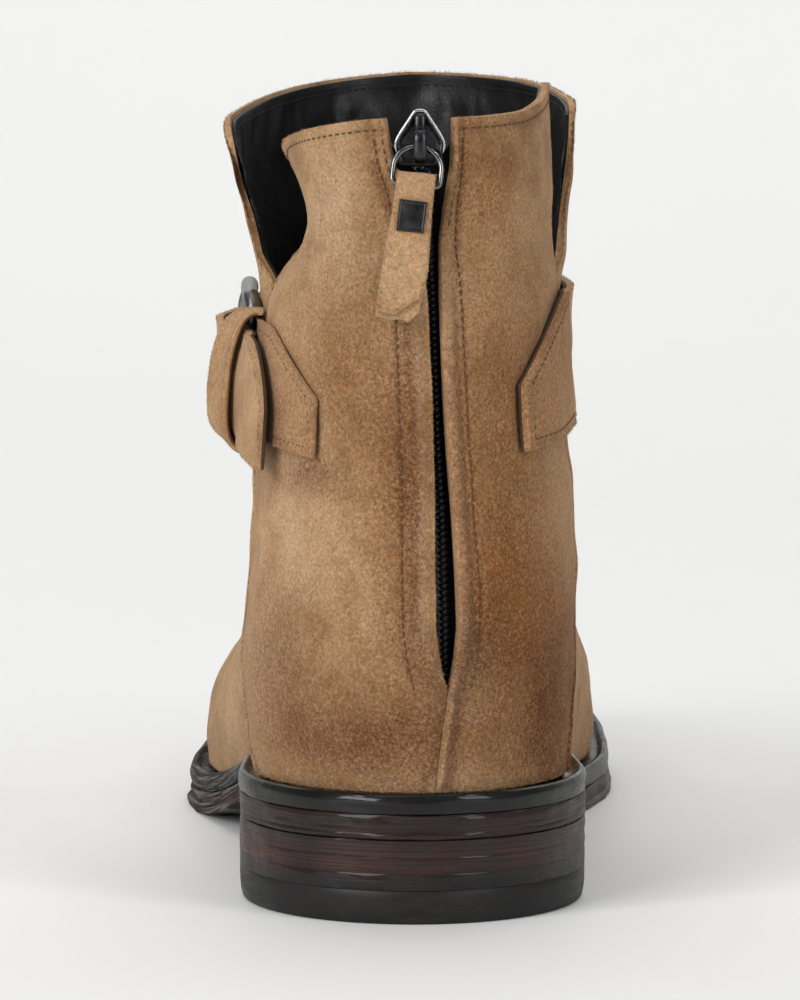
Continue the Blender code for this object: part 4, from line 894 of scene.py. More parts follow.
strapSettings = {"thick": 2.4, "backing": 0.9, "tab": 1.3, "bar": 1.8, "barTurn": 0.255, "buckleLength": 21.0,
                 "sideMmPerTurn": 82.0, "frontMmPerTurn": 490.0, "lift": 0.55, "wide": 24, "edgeRound": 0.45,
                 "stitchIn": 2.0, "sewnLong": 40, "tipMmPerTurn": 370.0}
keeperSettings = {"thick": 1.5, "high": 123.9, "overStrap": 0.9, "belowStrap": 1.0, "power": 4.0, "lean": 1.3,
                  "round": 0.55}
strapLift = strapSettings["lift"]
strapRows = np.array([  # turn, height above the upper, lower edge, upper edge
    (0.928, strapLift, 97.4, 111.3), (0.908, strapLift, 98.2, 118.2), (0.883, strapLift, 99.2, 125.2),
    (0.862, strapLift, 100.2, 128.4), (0.82, strapLift, 101.2, 129.4), (0.74, strapLift, 102.0, 129.4),
    (0.66, strapLift, 104.0, 130.4), (0.58, strapLift, 106.2, 131.8), (0.50, strapLift, 107.4, 132.4),
    (0.43, strapLift, 106.8, 131.4), (0.38, strapLift, 105.0, 129.4), (0.345, strapLift, 102.4, 126.8),
    (0.322, 1.3, 100.8, 125.1), (0.307, 4.6, 99.9, 124.2), (0.292, 7.2, 99.2, 123.5),
    (0.272, 8.1, 98.8, 123.0), (0.248, 8.1, 98.3, 122.5), (0.225, 7.2, 98.0, 122.2),
    (0.20, 6.0, 97.5, 121.6), (0.175, 4.9, 97.0, 121.1),
    (0.16, 4.2, 96.6, 120.7), (0.15, 3.4, 96.1, 120.3), (0.138, 3.1, 95.4, 119.9), (0.124, 3.1, 94.4, 118.6),
    (0.112, 3.3, 93.5, 114.6), (0.1035, 3.6, 92.9, 109.4), (0.0995, 3.8, 92.6, 105.0),
])
tabFace = strapLift + strapSettings["tab"]
foldZ = (100.4, 121.4)
barLift = tabFace + last["gap"] + strapSettings["bar"]
tabRows = np.array([  # the same columns, from the sewn point to the fold round the buckle's bar
    (0.0647, tabFace, 96.1, 108.6), (0.085, tabFace, 97.0, 114.5), (0.11, tabFace, 98.0, 121.0),
    (0.126, tabFace, 98.4, 122.8), (0.16, tabFace, 98.9, 123.0), (0.20, tabFace, 99.3, 123.2),
    (0.23, tabFace, 99.7, 122.9), (strapSettings["barTurn"], tabFace, *foldZ),
])
tabFold = np.array([  # turn back from the bar and fall of the folded end's last steps
    (0.01, 0.25), (0.02, 0.6), (0.0325, 1.2), (0.045, 1.9)])
tipEdge = np.array([  # turn and height along the edge of the strap's free tip
    (0.14, 117.4), (0.122, 111.0), (0.1025, 103.4), (0.1025, 92.4)])
keeperTurns = np.array([0.151, 0.164, 0.185, 0.206, 0.226])


def strapAt(turn):  # height above the upper, lower and upper edge of the strap at a turn
    return [np.interp(turn, strapRows[::-1, 0], strapRows[::-1, column]) for column in (1, 2, 3)]


def bandRows(rows, pieces):  # turn, height and both edges at even steps along a band, close together at its ends
    fine = tableRow(rows, np.linspace(0, len(rows) - 1, 30 * len(rows)))
    way = wayAlong(skin(fine[:, 0], (fine[:, 2] + fine[:, 3]) / 2, fine[:, 1]))
    return readAlong(packed(pieces, way[-1]) * way[-1], way, fine)


def bandGrid(rows, across):  # the band's turn, z and height on a grid, rows along it and columns up it
    share = packed(across, strapSettings["wide"])
    low, high = rows[:, 2:3], rows[:, 3:4]
    turn, lift = (np.repeat(rows[:, column:column + 1], len(share), axis=1) for column in (0, 1))
    return turn, low + (high - low) * share, lift


def thickened(grid, thick, roundBy, sides):  # both faces of a sheet along its own normals, its cut edges rounded
    normal = unit(np.cross(np.gradient(grid, axis=0), np.gradient(grid, axis=1)))
    near = np.minimum.reduce([np.where(use, dist, 99.0) for use, dist in zip(sides, walked(grid))])
    fall = rollOff(near, roundBy)
    return grid + normal * fall[..., None], grid + normal * (thick - fall)[..., None], normal, near


def outlineRow(grid, normal, near, inset, use):
    # a stitch line a fixed distance inside a band's end: up one long side, round the end and back
    half = grid.shape[1] // 2
    low = lineAt(near[:, :half], inset, grid[:, :half], normal[:, :half])
    high = lineAt(near[:, :half - 1:-1], inset, grid[:, :half - 1:-1], normal[:, :half - 1:-1])
    return [np.concatenate([lowSide[use][::-1], highSide[use]]) for lowSide, highSide in zip(low, high)]


turn, z, lift = bandGrid(bandRows(strapRows, 230), 22)
inKeeper = smoothStep(turn, 0.135, 0.15) * (1 - smoothStep(turn, 0.205, 0.23))
keeperMiddle = (strapAt(turn[:, :1])[1] - keeperSettings["belowStrap"] + keeperSettings["high"]) / 2
offMiddle = np.clip(np.abs(z - keeperMiddle) / (keeperSettings["high"] - keeperMiddle), 0, 0.97)
power = keeperSettings["power"]
squeeze = (lift + 2.5) * (1 - (1 - offMiddle**power) ** (1 / power))
squeeze = squeeze + keeperSettings["lean"] * smoothStep(z, keeperMiddle, keeperSettings["high"])
lift = np.maximum(lift - inKeeper * squeeze, np.minimum(lift, tabFace + 0.2))  # bent with the keeper's corners
flat = skin(turn, z, lift + strapSettings["thick"])
left, right, down, foot = walked(flat)
near = np.minimum.reduce([left, right, down, foot])
endZone = 1 - smoothStep(foot, strapSettings["sewnLong"], strapSettings["sewnLong"] + 4)
face = strapSettings["thick"] + 0.12 * softNoise(flat, 9, 21) + 0.15 * softNoise(flat, 24, 22)
face -= rollOff(near, strapSettings["edgeRound"]) + 0.22 * bell(near - strapSettings["stitchIn"], 0.5) * endZone
strapOuter = skin(turn, z, lift + face)
strapUnder = skin(turn, z, lift + strapSettings["backing"])
makePiece("strapSuede", *sheetParts(strapOuter, strapUnder), suedeStrap, "boot", ["strap"], "suede", bothFaces({
    "burnish": 0.3 * bell(near - 0.9, 0.9) * endZone, "russet": 0.6 * endZone, "pale": 0.35 * cutEdge(near)}),
    turnOut=True)
backingTop = skin(turn, z, lift + strapSettings["backing"] - 0.03)
backingFoot = skin(turn, z, lift + rollOff(near, 0.35))
makePiece("strapBacking", *sheetParts(backingTop, backingFoot), strapBrown, "boot", ["strap"], "insole_leather",
          turnOut=True)
strapNormal = outward(turn, levelAt(turn, np.full(turn.shape, last["beltZ"])))
fromEnd = foot.mean(axis=1)
sewnRows = np.flatnonzero((fromEnd > 2.0) & (fromEnd < strapSettings["sewnLong"]))
tanRows.append(outlineRow(strapOuter, strapNormal, near, strapSettings["stitchIn"], sewnRows))


def buckleHeight(turn):  # middle of the strap where it passes the buckle
    _, low, high = strapAt(turn)
    return (low + high) / 2


def buckleTurn(forward):  # the turn that far forward of the buckle's bar along the side
    barTurn, uBall = strapSettings["barTurn"], last["turnBall"]
    side = (uBall - barTurn) * strapSettings["sideMmPerTurn"]
    forward = np.asarray(forward, float)
    return np.where(forward < side, barTurn + forward / strapSettings["sideMmPerTurn"],
                    uBall + (forward - side) / strapSettings["frontMmPerTurn"])


turn, z, lift = bandGrid(bandRows(tabRows, 40), 20)
angle = np.radians(np.linspace(0, 180, 22))[1:]
radius = strapSettings["bar"] + last["gap"]
foldTurn = np.concatenate([radius * np.sin(angle) / strapSettings["sideMmPerTurn"], -tabFold[:, 0]])
foldTurn = strapSettings["barTurn"] + foldTurn[:, None]
foldLift = barLift + np.concatenate([-radius * np.cos(angle), radius - tabFold[:, 1]])[:, None]
share = packed(20, strapSettings["wide"])
foldGrid = skin(*np.broadcast_arrays(foldTurn, foldZ[0] + (foldZ[1] - foldZ[0]) * share, foldLift))
tabGrid = np.concatenate([skin(turn, z, lift), foldGrid])
tabTop, tabBack, tabNormal, near = thickened(tabGrid, strapSettings["tab"], 0.4, (True, True, True, True))
sewnPart = 1 - smoothStep(np.arange(len(tabGrid)), 36, 42)[:, None]
tabTop = tabTop + tabNormal * (0.12 * bell(near - strapSettings["stitchIn"], 0.6) * sewnPart)[..., None]
tipTurn, tipZ = readAlong(np.linspace(0, 3, 40), np.arange(4), tipEdge).T
apart = np.hypot((turn[..., None] - tipTurn) * strapSettings["tipMmPerTurn"], z[..., None] - tipZ).min(axis=-1)
tipShadow = np.zeros(near.shape)
tipShadow[:len(turn)] = bell(apart, 5)  # painted shadow of the strap's free tip on the tab beside its edge
makePiece("buckleTabSuede", *sheetParts(tabTop, tabBack), suedeStrap, "boot", ["buckle_tab"], "suede", bothFaces({
    "burnish": np.clip(0.3 * bell(near - 0.9, 0.9) + 0.85 * tipShadow, 0, 1), "russet": np.full(near.shape, 0.3),
    "pale": 0.3 * cutEdge(near)}), turnOut=True)
flapRows.append(outlineRow(tabTop, -tabNormal, near, strapSettings["stitchIn"], np.arange(6, 36)))

turns = np.interp(np.linspace(0, 4, 31), np.arange(5), keeperTurns)
outerLift, low, _ = strapAt(turns)
outerLift, low = outerLift + strapSettings["thick"] + keeperSettings["overStrap"], low - keeperSettings["belowStrap"]
high, footLift = keeperSettings["high"], strapLift + 0.2
angle = np.linspace(0, math.pi, 84)[:, None]
squared = 2 / keeperSettings["power"]
middle, half = (low + high) / 2, (high - low) / 2
loopZ = middle - half * np.sign(np.cos(angle)) * np.abs(np.cos(angle)) ** squared
loopLift = footLift + (outerLift - footLift) * np.sin(angle).clip(0) ** squared
loopLift = np.maximum(loopLift - keeperSettings["lean"] * smoothStep(loopZ, middle, high), footLift)
keeperGrid = skin(np.broadcast_to(turns, loopZ.shape), loopZ, loopLift)
keeperIn, keeperOut, keeperNormal, near = thickened(
    keeperGrid, keeperSettings["thick"], keeperSettings["round"], (True, True, False, False))
keeperOut = keeperOut + keeperNormal * (0.1 * softNoise(keeperOut, 8, 31))[..., None]
makePiece("strapKeeperSuede", *sheetParts(keeperOut, keeperIn), suedeStrap, "boot", ["strap_keeper"], "suede",
          bothFaces({"burnish": 0.2 * bell(near - 1.2, 1.0), "pale": 0.3 * cutEdge(near)}), turnOut=True)

buckleSettings = {"halfHeight": 15.6, "corner": 4.0, "frontRaise": 0.5, "curl": 1.8, "prong": 1.1}
prongShape = np.array([  # forward of the bar, height over its rest
    (0, 0), (4, 3.2), (9, 2.9), (15, 2.3), (strapSettings["buckleLength"], 2.0),
    (strapSettings["buckleLength"] + 2.6, 1.6)])


def bucklePath():  # two upright bars and two level ones with round corners, bent with the boot's side
    half, halfHeight = strapSettings["buckleLength"] / 2, buckleSettings["halfHeight"]
    corner = buckleSettings["corner"]
    frontLift = strapLift + strapSettings["thick"] + last["gap"] + strapSettings["bar"]
    frontLift += buckleSettings["frontRaise"]
    places = []
    for ahead, up, start in ((1, 1, 0), (-1, 1, 90), (-1, -1, 180), (1, -1, 270)):
        bend = np.radians(np.linspace(0, 90, 9) + start)
        places.append(np.stack([ahead * (half - corner) + corner * np.cos(bend),
                                up * (halfHeight - corner) + corner * np.sin(bend)], axis=-1))
    forward, upward = resample(np.concatenate(places), 120, closed=True).T
    turn = buckleTurn(forward + half)
    above = barLift + (frontLift - barLift) * smoothStep(forward, -half, half)
    above = above - buckleSettings["curl"] * smoothStep(upward, 9, halfHeight)
    return skin(turn, buckleHeight(turn) + upward, above)


makePiece("buckleFrame", *tubeAlong(bucklePath(), strapSettings["bar"], 18, closed=True), gunmetal, "boot",
          ["buckle_frame"], "gunmetal", turnOut=True)
rest = barLift + strapSettings["bar"] + last["gap"] + 1.2
prongZ = buckleHeight(strapSettings["barTurn"]) + 1.0 + np.linspace(0, 1.4, len(prongShape))
prongPath = roundedPath(skin(buckleTurn(prongShape[:, 0]), prongZ, rest + prongShape[:, 1]), 40)
prongSize = buckleSettings["prong"] * np.sqrt(np.clip(1 - np.linspace(-0.97, 0.97, 40) ** 12, 0.05, 1))
makePiece("buckleProng", *tubeAlong(prongPath, prongSize, 14), gunmetal, "boot", ["buckle_prong"], "gunmetal",
          turnOut=True)
print("strap and buckle made")

# zip

zipSettings = {"tapeHalf": 10.5, "tapeIn": 1.2, "tapeThick": 0.9, "tapeFoot": 44.0, "tapeTop": 166.0,
               "sliderTop": 169.0, "sliderFoot": 157.6, "coilPitch": 1.35, "coilWire": 0.36, "coilHalf": 0.95,
               "coilDeep": 1.55, "coilRound": 0.55, "coreHalf": 1.5, "coreDeep": (1.75, 2.25)}
pivot = np.array([0.7, -35.1, 161.6])
pullLean = math.radians(7.0)


def zipStrip(heights, sides, depth):  # up the zip: each column a distance from its middle, each point a depth inside
    heights, sides, depth = np.broadcast_arrays(heights, sides, depth)
    _, place, perMm = zipAt(levelAt(np.zeros(heights.shape), heights))
    turn = place - sides * perMm
    level = levelAt(turn, heights)
    return lining(turn, level) - outward(turn, level) * depth[..., None]


heights = np.linspace(zipSettings["tapeFoot"], zipSettings["tapeTop"], 110)[:, None]
parting = smoothStep(heights, zipSettings["sliderFoot"] - 3, zipSettings["sliderFoot"] + 6)
spread = np.interp(heights, zipLine[:, 0], zipLine[:, 1]) * parting
tapeIn, tapeWide = zipSettings["tapeIn"], zipSettings["tapeHalf"] - zipSettings["tapeIn"]
parts = []
for hand in (-1, 1):  # a tape either side, parted above the slider
    share = np.linspace(0, 1, 16)[::hand]
    sides = hand * (tapeIn + spread + share * (tapeWide - spread))
    depth = 0.45 + 2.2 * (1 - smoothStep(np.abs(sides), 3.2, 8))
    parts.append(sheetParts(*[zipStrip(heights, sides, deep) for deep in (depth, depth + zipSettings["tapeThick"])]))
makePiece("zipTapeCloth", *joinParts(parts), zipCloth, "boot", ["zip_tape"], "zip_fabric", turnOut=True)

coilFoot, coilTop = zipLine[1, 0] - 1, zipSettings["sliderFoot"] - 0.4
loops = (coilTop - coilFoot) / zipSettings["coilPitch"]
phase = np.linspace(0, loops * 2 * math.pi, int(loops * 14))
parts = []
for hand, shift in ((-1, 0.0), (1, 0.5)):  # a nylon coil on each tape, its loops meshed with the other's
    climb = np.linspace(coilFoot, coilTop, len(phase)) + shift * zipSettings["coilPitch"]
    out = hand * (0.8 - zipSettings["coilHalf"] * np.cos(phase))
    deep = zipSettings["coilDeep"] - zipSettings["coilRound"] * np.sin(phase)
    parts.append(tubeAlong(zipStrip(climb, out, deep), zipSettings["coilWire"], 6))
climb = np.linspace(coilFoot, coilTop, 80)[:, None]
out = np.linspace(-zipSettings["coreHalf"], zipSettings["coreHalf"], 7)
parts.append(sheetParts(*[zipStrip(climb, out, deep) for deep in zipSettings["coreDeep"]]))
makePiece("zipCoil", *joinParts(parts), zipNylon, "boot", ["zip_teeth"], "zip_coil", turnOut=True)


def plateRings(outline, profile, axisPlace):  # a plate with shaped edges: its outline drawn in and moved step by step
    outline = np.asarray(outline, float)
    middle = outline.mean(axis=0)
    size = np.abs(outline - middle).max()
    rings = [axisPlace(middle + (outline - middle) * (1 - inset / size), depth) for inset, depth in profile]
    faces = gridFaces(len(profile), len(outline), wrapCols=True).tolist() + endCaps(len(profile), len(outline))
    return np.concatenate(rings), faces


def onFace(points, depth):  # outline x and z to the slider's plane, at a depth behind its face
    return np.stack([pivot[0] + points[:, 0], np.full(len(points), faceY + depth), points[:, 1]], axis=-1)


def sliderBar(line, wide, count, sides):  # a flat bar on the slider's face, carried along a line of depth and height
    line = np.array(line)
    path = np.stack([np.full(len(line), pivot[0]), faceY + line[:, 0], pivot[2] + line[:, 1]], axis=-1)
    path = roundedPath(path, count)
    return tubeAlong(path, wide, sides, flat=0.5, upHint=np.cross(np.gradient(path, axis=0), (1.0, 0, 0)))


faceY = pivot[1] + 1.1
middleZ = (zipSettings["sliderTop"] + zipSettings["sliderFoot"]) / 2
halfZ = (zipSettings["sliderTop"] - zipSettings["sliderFoot"]) / 2
halfShield = [(1.1, halfZ - 0.25), (2.5, halfZ - 2.3), (4.1, halfZ - 4.7), (5.0, halfZ - 6.6), (4.8, halfZ - 8.3),
              (4.1, -halfZ + 0.3)]
shield = [(0, halfZ), *halfShield, (0, -halfZ), *[(-x, z) for x, z in halfShield[::-1]]]
shieldCount = 72
shield = roundedPath(np.array(shield) + (0, middleZ), shieldCount, closed=True)
coreTop = zipSettings["sliderTop"] - 0.8
coreOutline = roundedPath([(-1.2, middleZ), (1.2, middleZ), (1.2, coreTop), (-1.2, coreTop)], 24, closed=True)
sliderParts = [
    plateRings(shield, [(0.5, 1.5), (0.0, 1.2), (0.0, 0.45), (0.35, 0), (0.9, 0), (1.3, 0.3), (2.4, 0.35)], onFace),
    plateRings(shield, [(0.4, 4.9), (0.0, 4.5), (0.0, 3.8), (0.4, 3.5)], onFace),
    plateRings(coreOutline, [(0.0, 4.0), (0.0, 1.0)], onFace),
    sliderBar([(0.6, 3.0), (-0.6, 3.2), (-2.0, 2.95), (-2.75, 2.0), (-2.85, 0.0), (-2.75, -1.6), (-2.0, -2.45),
               (-0.6, -2.65), (0.6, -2.6)], 1.4, 46, 16),
    sliderBar([(0.5, 6.5), (-0.35, 6.3), (-0.6, 5.6), (-0.6, 3.4), (0.5, 2.8)], 1.2, 24, 14)]
rimCount = 22  # points of the outline either side of its top
# a bead of brighter nickel along the top of the shield: a painted highlight on the slider's edge
rimPath = onFace(resample(shield[np.r_[shieldCount - rimCount:shieldCount, 0:rimCount + 1]], 70), 0.1)
rimSize = 0.36 * np.sqrt(np.clip(1 - np.linspace(-1, 1, len(rimPath)) ** 8, 0.1, 1))
makePiece("zipSliderRim", *tubeAlong(rimPath, rimSize, 10), nickel, "boot", ["zip_slider"], "dark_nickel",
          turnOut=True)
makePiece("zipSlider", *joinParts(sliderParts), darkNickel, "boot", ["zip_slider"], "dark_nickel", turnOut=True,
          sharp=50)


def pullPlace(points):  # the pull's own x, y, z turned by its lean and set on the hinge
    x, y, z = np.moveaxis(np.asarray(points, float), -1, 0)
    return np.stack([x * math.cos(pullLean) + z * math.sin(pullLean), y,
                     -x * math.sin(pullLean) + z * math.cos(pullLean)], axis=-1) + pivot


pullSettings = {"wire": 0.58, "barDrop": 7.8, "barOut": 1.5, "ringHalf": 4.95, "archHigh": 4.4, "tabHalf": 4.0,
                "leather": 2.5, "sheet": 1.18, "flare": 0.22, "studHalf": 2.8, "studTop": -11.0, "studFoot": -17.4}
barDrop, barOut, ringHalf = pullSettings["barDrop"], pullSettings["barOut"], pullSettings["ringHalf"]
arch = np.radians(np.linspace(0, 180, 31))
archLine = np.stack([ringHalf * np.cos(arch), pullSettings["archHigh"] * (np.sin(arch) - 1)], axis=-1)
corner = [(ringHalf, -barDrop + 1.2), (ringHalf - 0.3, -barDrop + 0.3), (ringHalf - 1.2, -barDrop)]
ringPath = np.concatenate([archLine, [(-x, z) for x, z in corner], [(0, -barDrop)], corner[::-1]])
ringPath = np.stack([ringPath[:, 0], ringPath[:, 1] / barDrop * barOut, ringPath[:, 1]], axis=-1)
ringPath = pullPlace(roundedPath(ringPath, 110, closed=True))
ringTube = tubeAlong(ringPath, pullSettings["wire"], 14, closed=True, upHint=(0.05, 1.0, 0.02))
makePiece("pullRing", *ringTube, ringNickel, "zip_pull", ["pull_ring"], "dark_nickel", turnOut=True)

tail = -barOut + 0.9
tabFront = tail - pullSettings["leather"]
tabLine = roundedPath([  # a leather strip seen edge-on: up the back, round the ring's bar and down the front
    (tail - 0.6, -36.4), (tail - 0.6, -24.0), (tail - 0.6, -13.5), (-barOut + 1.55, -9.6), (-barOut + 1.75, -7.6),
    (-barOut + 1.1, -6.2), (-barOut, -5.85), (-barOut - 1.1, -6.2), (-barOut - 1.75, -7.6), (-barOut - 1.5, -9.8),
    (tabFront + 0.62, -13.0), (tabFront + 0.62, -22.0), (tabFront + 0.62, -36.0)], 150)
across = (packed(16, 9) - 0.5) * 2
tabWidth = pullSettings["tabHalf"] * (1 + pullSettings["flare"] * smoothStep(-tabLine[:, 1], 9, 30))
tabY, tabZ = (np.repeat(tabLine[:, column:column + 1], len(across), axis=1) for column in (0, 1))
step = np.arange(len(tabLine))[:, None]
frontCut = 1.1 + 3.6 * smoothStep(across, -0.45, 1.0) + 0.9 * smoothStep(-across, 0.55, 1.0)
frontCut += 0.15 * np.sin(9 * across)
backCut = 0.5 + 1.6 * smoothStep(across, 0.55, 1.0) + 0.2 * np.sin(7 * across + 1)
slanting = frontCut * smoothStep(step, 75, 150) + backCut * (1 - smoothStep(step, 0, 70))  # both ends are ragged
tabX = tabWidth[:, None] * across - 0.9 * smoothStep(-tabZ, 24, 37) * smoothStep(across, -0.2, 1.0)
tabGrid = np.stack([tabX, tabY, tabZ + smoothStep(-tabZ, 20, 36) * slanting], axis=-1)
tabIn, tabOut, tabN, near = thickened(tabGrid, pullSettings["sheet"], 0.4, (True, True, True, True))
tabIn, tabOut = (side - tabN * pullSettings["sheet"] / 2 for side in (tabIn, tabOut))
tabOut = tabOut + tabN * (0.09 * softNoise(tabOut, 6, 41))[..., None]
pullTop = pullPlace(tabOut)
makePiece("pullTabSuede", *sheetParts(pullTop, pullPlace(tabIn)), suedeStrap, "zip_pull", ["pull_tab"], "suede",
          bothFaces({"burnish": 0.12 * bell(near - 0.8, 0.8), "pale": 0.15 + 0.25 * cutEdge(near)}), turnOut=True)


def onTab(points, depth):  # outline x and z to the pull tab's front, at a depth before it
    return pullPlace(np.stack([points[:, 0], np.full(len(points), tabFront - 0.05 - depth), points[:, 1]], axis=-1))


studHalf, studTop, studFoot = pullSettings["studHalf"], pullSettings["studTop"], pullSettings["studFoot"]
studSide = [(studHalf - 0.3, studTop), (studHalf, studTop - 0.3),
            (studHalf, studFoot + 0.3), (studHalf - 0.3, studFoot)]
studOutline = np.array(studSide + [(-x, z) for x, z in studSide[::-1]])
studOutline = roundedPath(np.roll(studOutline, 2, axis=0), 64, closed=True)
studSteps = [(0.0, 0.0), (0.0, 0.55), (0.12, 0.8), (0.4, 0.92), (0.65, 0.85), (0.8, 0.68), (1.1, 0.7), (1.8, 0.76),
             (2.5, 0.79)]
makePiece("pullStud", *plateRings(studOutline, studSteps, onTab), darkNickel, "zip_pull", ["pull_stud"],
          "dark_nickel", turnOut=True)
print("zip made")

# sole

soleSettings = {"reach": 6.9, "tuck": 4.0, "flare": 0.9, "heelTurns": 40, "sideTurns": 70, "toeTurns": 50}


def planLine(turns, out):  # the feather line seen from above, moved outwards
    here = lining(turns, 0)[:, :2]
    along = lining(turns + 1e-3, 0)[:, :2] - lining(turns - 1e-3, 0)[:, :2]
    return here + unit(np.stack([-along[:, 1], along[:, 0]], axis=-1)) * np.reshape(out, (-1, 1))


def turnAt(y, out=0.0):  # the turn on the outer side that has that y
    sides = np.linspace(0, last["turnBall"], 400)
    return np.interp(y, planLine(sides, out)[:, 1], sides)


def soleTurns():  # turns from the toe's inner side by the heel to its outer side, paired across by equal y
    breast = turnAt(last["shankStart"])
    outer = np.concatenate([
        np.linspace(0, last["turnHeel"], soleSettings["heelTurns"])[1:],
        np.linspace(last["turnHeel"], breast, 6)[1:],
        np.linspace(breast, last["turnBall"], soleSettings["sideTurns"])[1:],
        np.linspace(last["turnBall"], 0.497, soleSettings["toeTurns"])[1:]])
    sides = np.linspace(0, 0.5, 1600)
    inner = np.interp(lining(outer, 0)[:, 1], lining(-sides, 0)[:, 1], sides)
    return np.concatenate([-inner[::-1], [0], outer])


def edgeLoops(turns, steps, base):  # a loop for each step of an edge: how far out and how high over the base
    y = planLine(turns, 0)[:, 1]
    flat = [planLine(turns, out(y) if callable(out) else out) for out, _ in steps]
    return np.array([np.column_stack([loop, base(loop[:, 1]) + high]) for loop, (_, high) in zip(flat, steps)])


def wearMark(rings):  # dust and scuffs: most on the outer side of the forefoot, some on the heel's sides
    x, y, _ = np.moveaxis(rings, -1, 0)
    outerFore = smoothStep(y, 60, 120) * smoothStep(-x, -5, 20)
    return np.clip(0.25 + 0.75 * outerFore + 0.3 * smoothStep(np.abs(x), 28, 38), 0, 1)


def waved(rings, amount, size, seed):  # the edge's hand-trimmed unevenness, moved in and out
    middle = rings.mean(axis=1, keepdims=True) * (1, 0, 0) + (0, 110, 0)
    away = (rings - middle) * (1, 0.35, 0)
    away /= np.maximum(np.linalg.norm(away, axis=-1, keepdims=True), 1e-6)
    return rings + away * (amount * softNoise(rings * (1, 1, 5), size, seed))[..., None]


def edgePiece(name, turns, steps, base, look, nodes, slotName, faces=stackFaces, wave=None, ink=None):
    # loops of an edge as a piece; wave has amount, size, seed and the steps it moves, ink is a function for the dye
    rings = edgeLoops(turns, steps, base)
    shape, marks = rings.shape[:2], None
    if wave:
        amount, size, seed, edge = wave
        rings[edge] = waved(rings, amount, size, seed)[edge]
        up = np.broadcast_to(np.array([high for _, high in steps])[:, None], shape)
        marks = {"along": np.broadcast_to(wayAlong(planLine(turns, 0)), shape), "up": up, "wear": wearMark(rings)}
        if ink:
            marks["ink"] = ink(rings, up)
    makePiece(name, rings.reshape(-1, 3), faces(*shape), look, "boot", nodes, slotName, marks, turnOut=True)


def flared(out):  # an edge that reaches further out ahead of the heel
    return lambda y: out + soleSettings["flare"] * smoothStep(y, last["breastY"], last["breastY"] + 25)


turns = soleTurns()
reach, tuck = soleSettings["reach"], soleSettings["tuck"]
outsoleSteps = [(flared(reach - inset), high) for inset, high in (
    (4.5, 0.0), (2.2, 0.0), (0.75, 0.03), (0.52, 0.18), (0.42, 0.6), (0.4, 1.0), (0.55, 1.35))]
outsoleSteps += [(reach - inset, high) for inset, high in (
    (0.3, 1.7), (0.25, 2.4), (0.4, 3.1), (0.3, 3.6), (0.3, 4.4), (0.36, 4.95), (0.6, 5.18), (2.5, 5.2))]
edgePiece("outsoleLeather", turns, outsoleSteps, soleLift, outsoleLook, ["outsole"], "sole_leather",
          wave=(0.2, 13, 51, slice(3, 13)))

weltFoot = last["outsole"] + last["gap"]
weltSteps = [(reach - inset, weltFoot + high) for inset, high in (
    (2.0, -0.15), (0.6, -0.12), (0.33, 0.1), (0.25, 1.0), (0.15, 2.0), (0.15, 3.0), (0.4, 3.8), (0.85, 4.25),
    (1.4, 4.35), (1.9, 4.15), (2.35, 3.5), (3.4, 3.1))]
weltSteps = [(-tuck, weltFoot - 0.15), *weltSteps, (1.2, weltFoot + 3.9), (-tuck, weltFoot + 4.0)]
edgePiece("weltLeather", turns, weltSteps, soleLift, weltLook, ["welt"], "welt_leather", weltFaces,
          wave=(0.13, 16, 52, slice(2, 11)))

insoleSteps = [(-tuck - 0.4, weltFoot), (-tuck - 0.4, seatOverLift + 0.3)]
insoleSteps += [(-inset, seatOverLift + high) for inset, high in (
    (1.1, 0.3), (1.1, 2.4), (1.25, 2.9), (1.7, 3.2), (3.2, 3.3))]
edgePiece("insoleLeather", turns, insoleSteps, soleLift, insoleBlack, ["insole"], "insole_leather")

heelEnd = turnAt(last["breastY"], reach)
heelTurns = np.linspace(-heelEnd, heelEnd, 150)
heelReach = reach - 0.42
stackFoot, stackTop = last["topLift"] + 0.14, last["topLift"] + last["heelStack"] + 0.16
layer = (stackTop - stackFoot) / 3
stackSteps = [(2.0, stackFoot), (0.1, stackFoot + 0.01), (0.02, stackFoot + 0.08)]
for number in (1, 2, 3):
    edgeZ = stackFoot + layer * number
    stackSteps += [(-0.05, edgeZ - layer / 2), (0, edgeZ - 0.3)]
    if number < 3:
        stackSteps += [(0.02, edgeZ - 0.12), (0.07, edgeZ), (0.02, edgeZ + 0.12), (0, edgeZ + 0.3)]
stackSteps += [(0, stackTop - 0.06), (0.12, stackTop), (2.0, stackTop)]


def heelInk(rings, up):  # black dye at the foot and the top of the stack, its limits uneven
    uneven = up + 0.6 * softNoise(rings, 30, 54)
    low = 1 - smoothStep(uneven, stackFoot + 0.6, stackFoot + 5.0)
    return 0.95 * low + 0.6 * smoothStep(uneven, stackTop - 2.5, stackTop)


edgePiece("heelLifts", heelTurns, [(heelReach - inset, high) for inset, high in stackSteps], np.zeros_like, heelLook,
          ["heel_stack"], "heel_leather", wave=(0.1, 15, 53, slice(2, -2)), ink=heelInk)
liftSteps = [(heelReach - inset, high) for inset, high in (
    (3.0, 0.0), (1.3, 0.0), (0.85, 0.15), (0.5, 0.6), (0.25, 1.6), (0.05, 3.4), (0, 5.6), (0.02, 7.0), (0.1, 7.1),
    (2.0, 7.12))]
edgePiece("topLiftRubber", heelTurns, liftSteps, np.zeros_like, liftRubber, ["top_lift"], "heel_rubber")
print("sole made")

# raw edges: short fibres

fibreSettings = {"every": 0.16, "length": 0.7, "radius": 0.035, "stray": 0.5, "curl": 0.6, "rooted": 0.25}
footFibres = {**fibreSettings, "every": 0.12}
topFibres = {**fibreSettings, "every": 0.2, "length": 1.1}
pullFibres = {**fibreSettings, "every": 0.1}


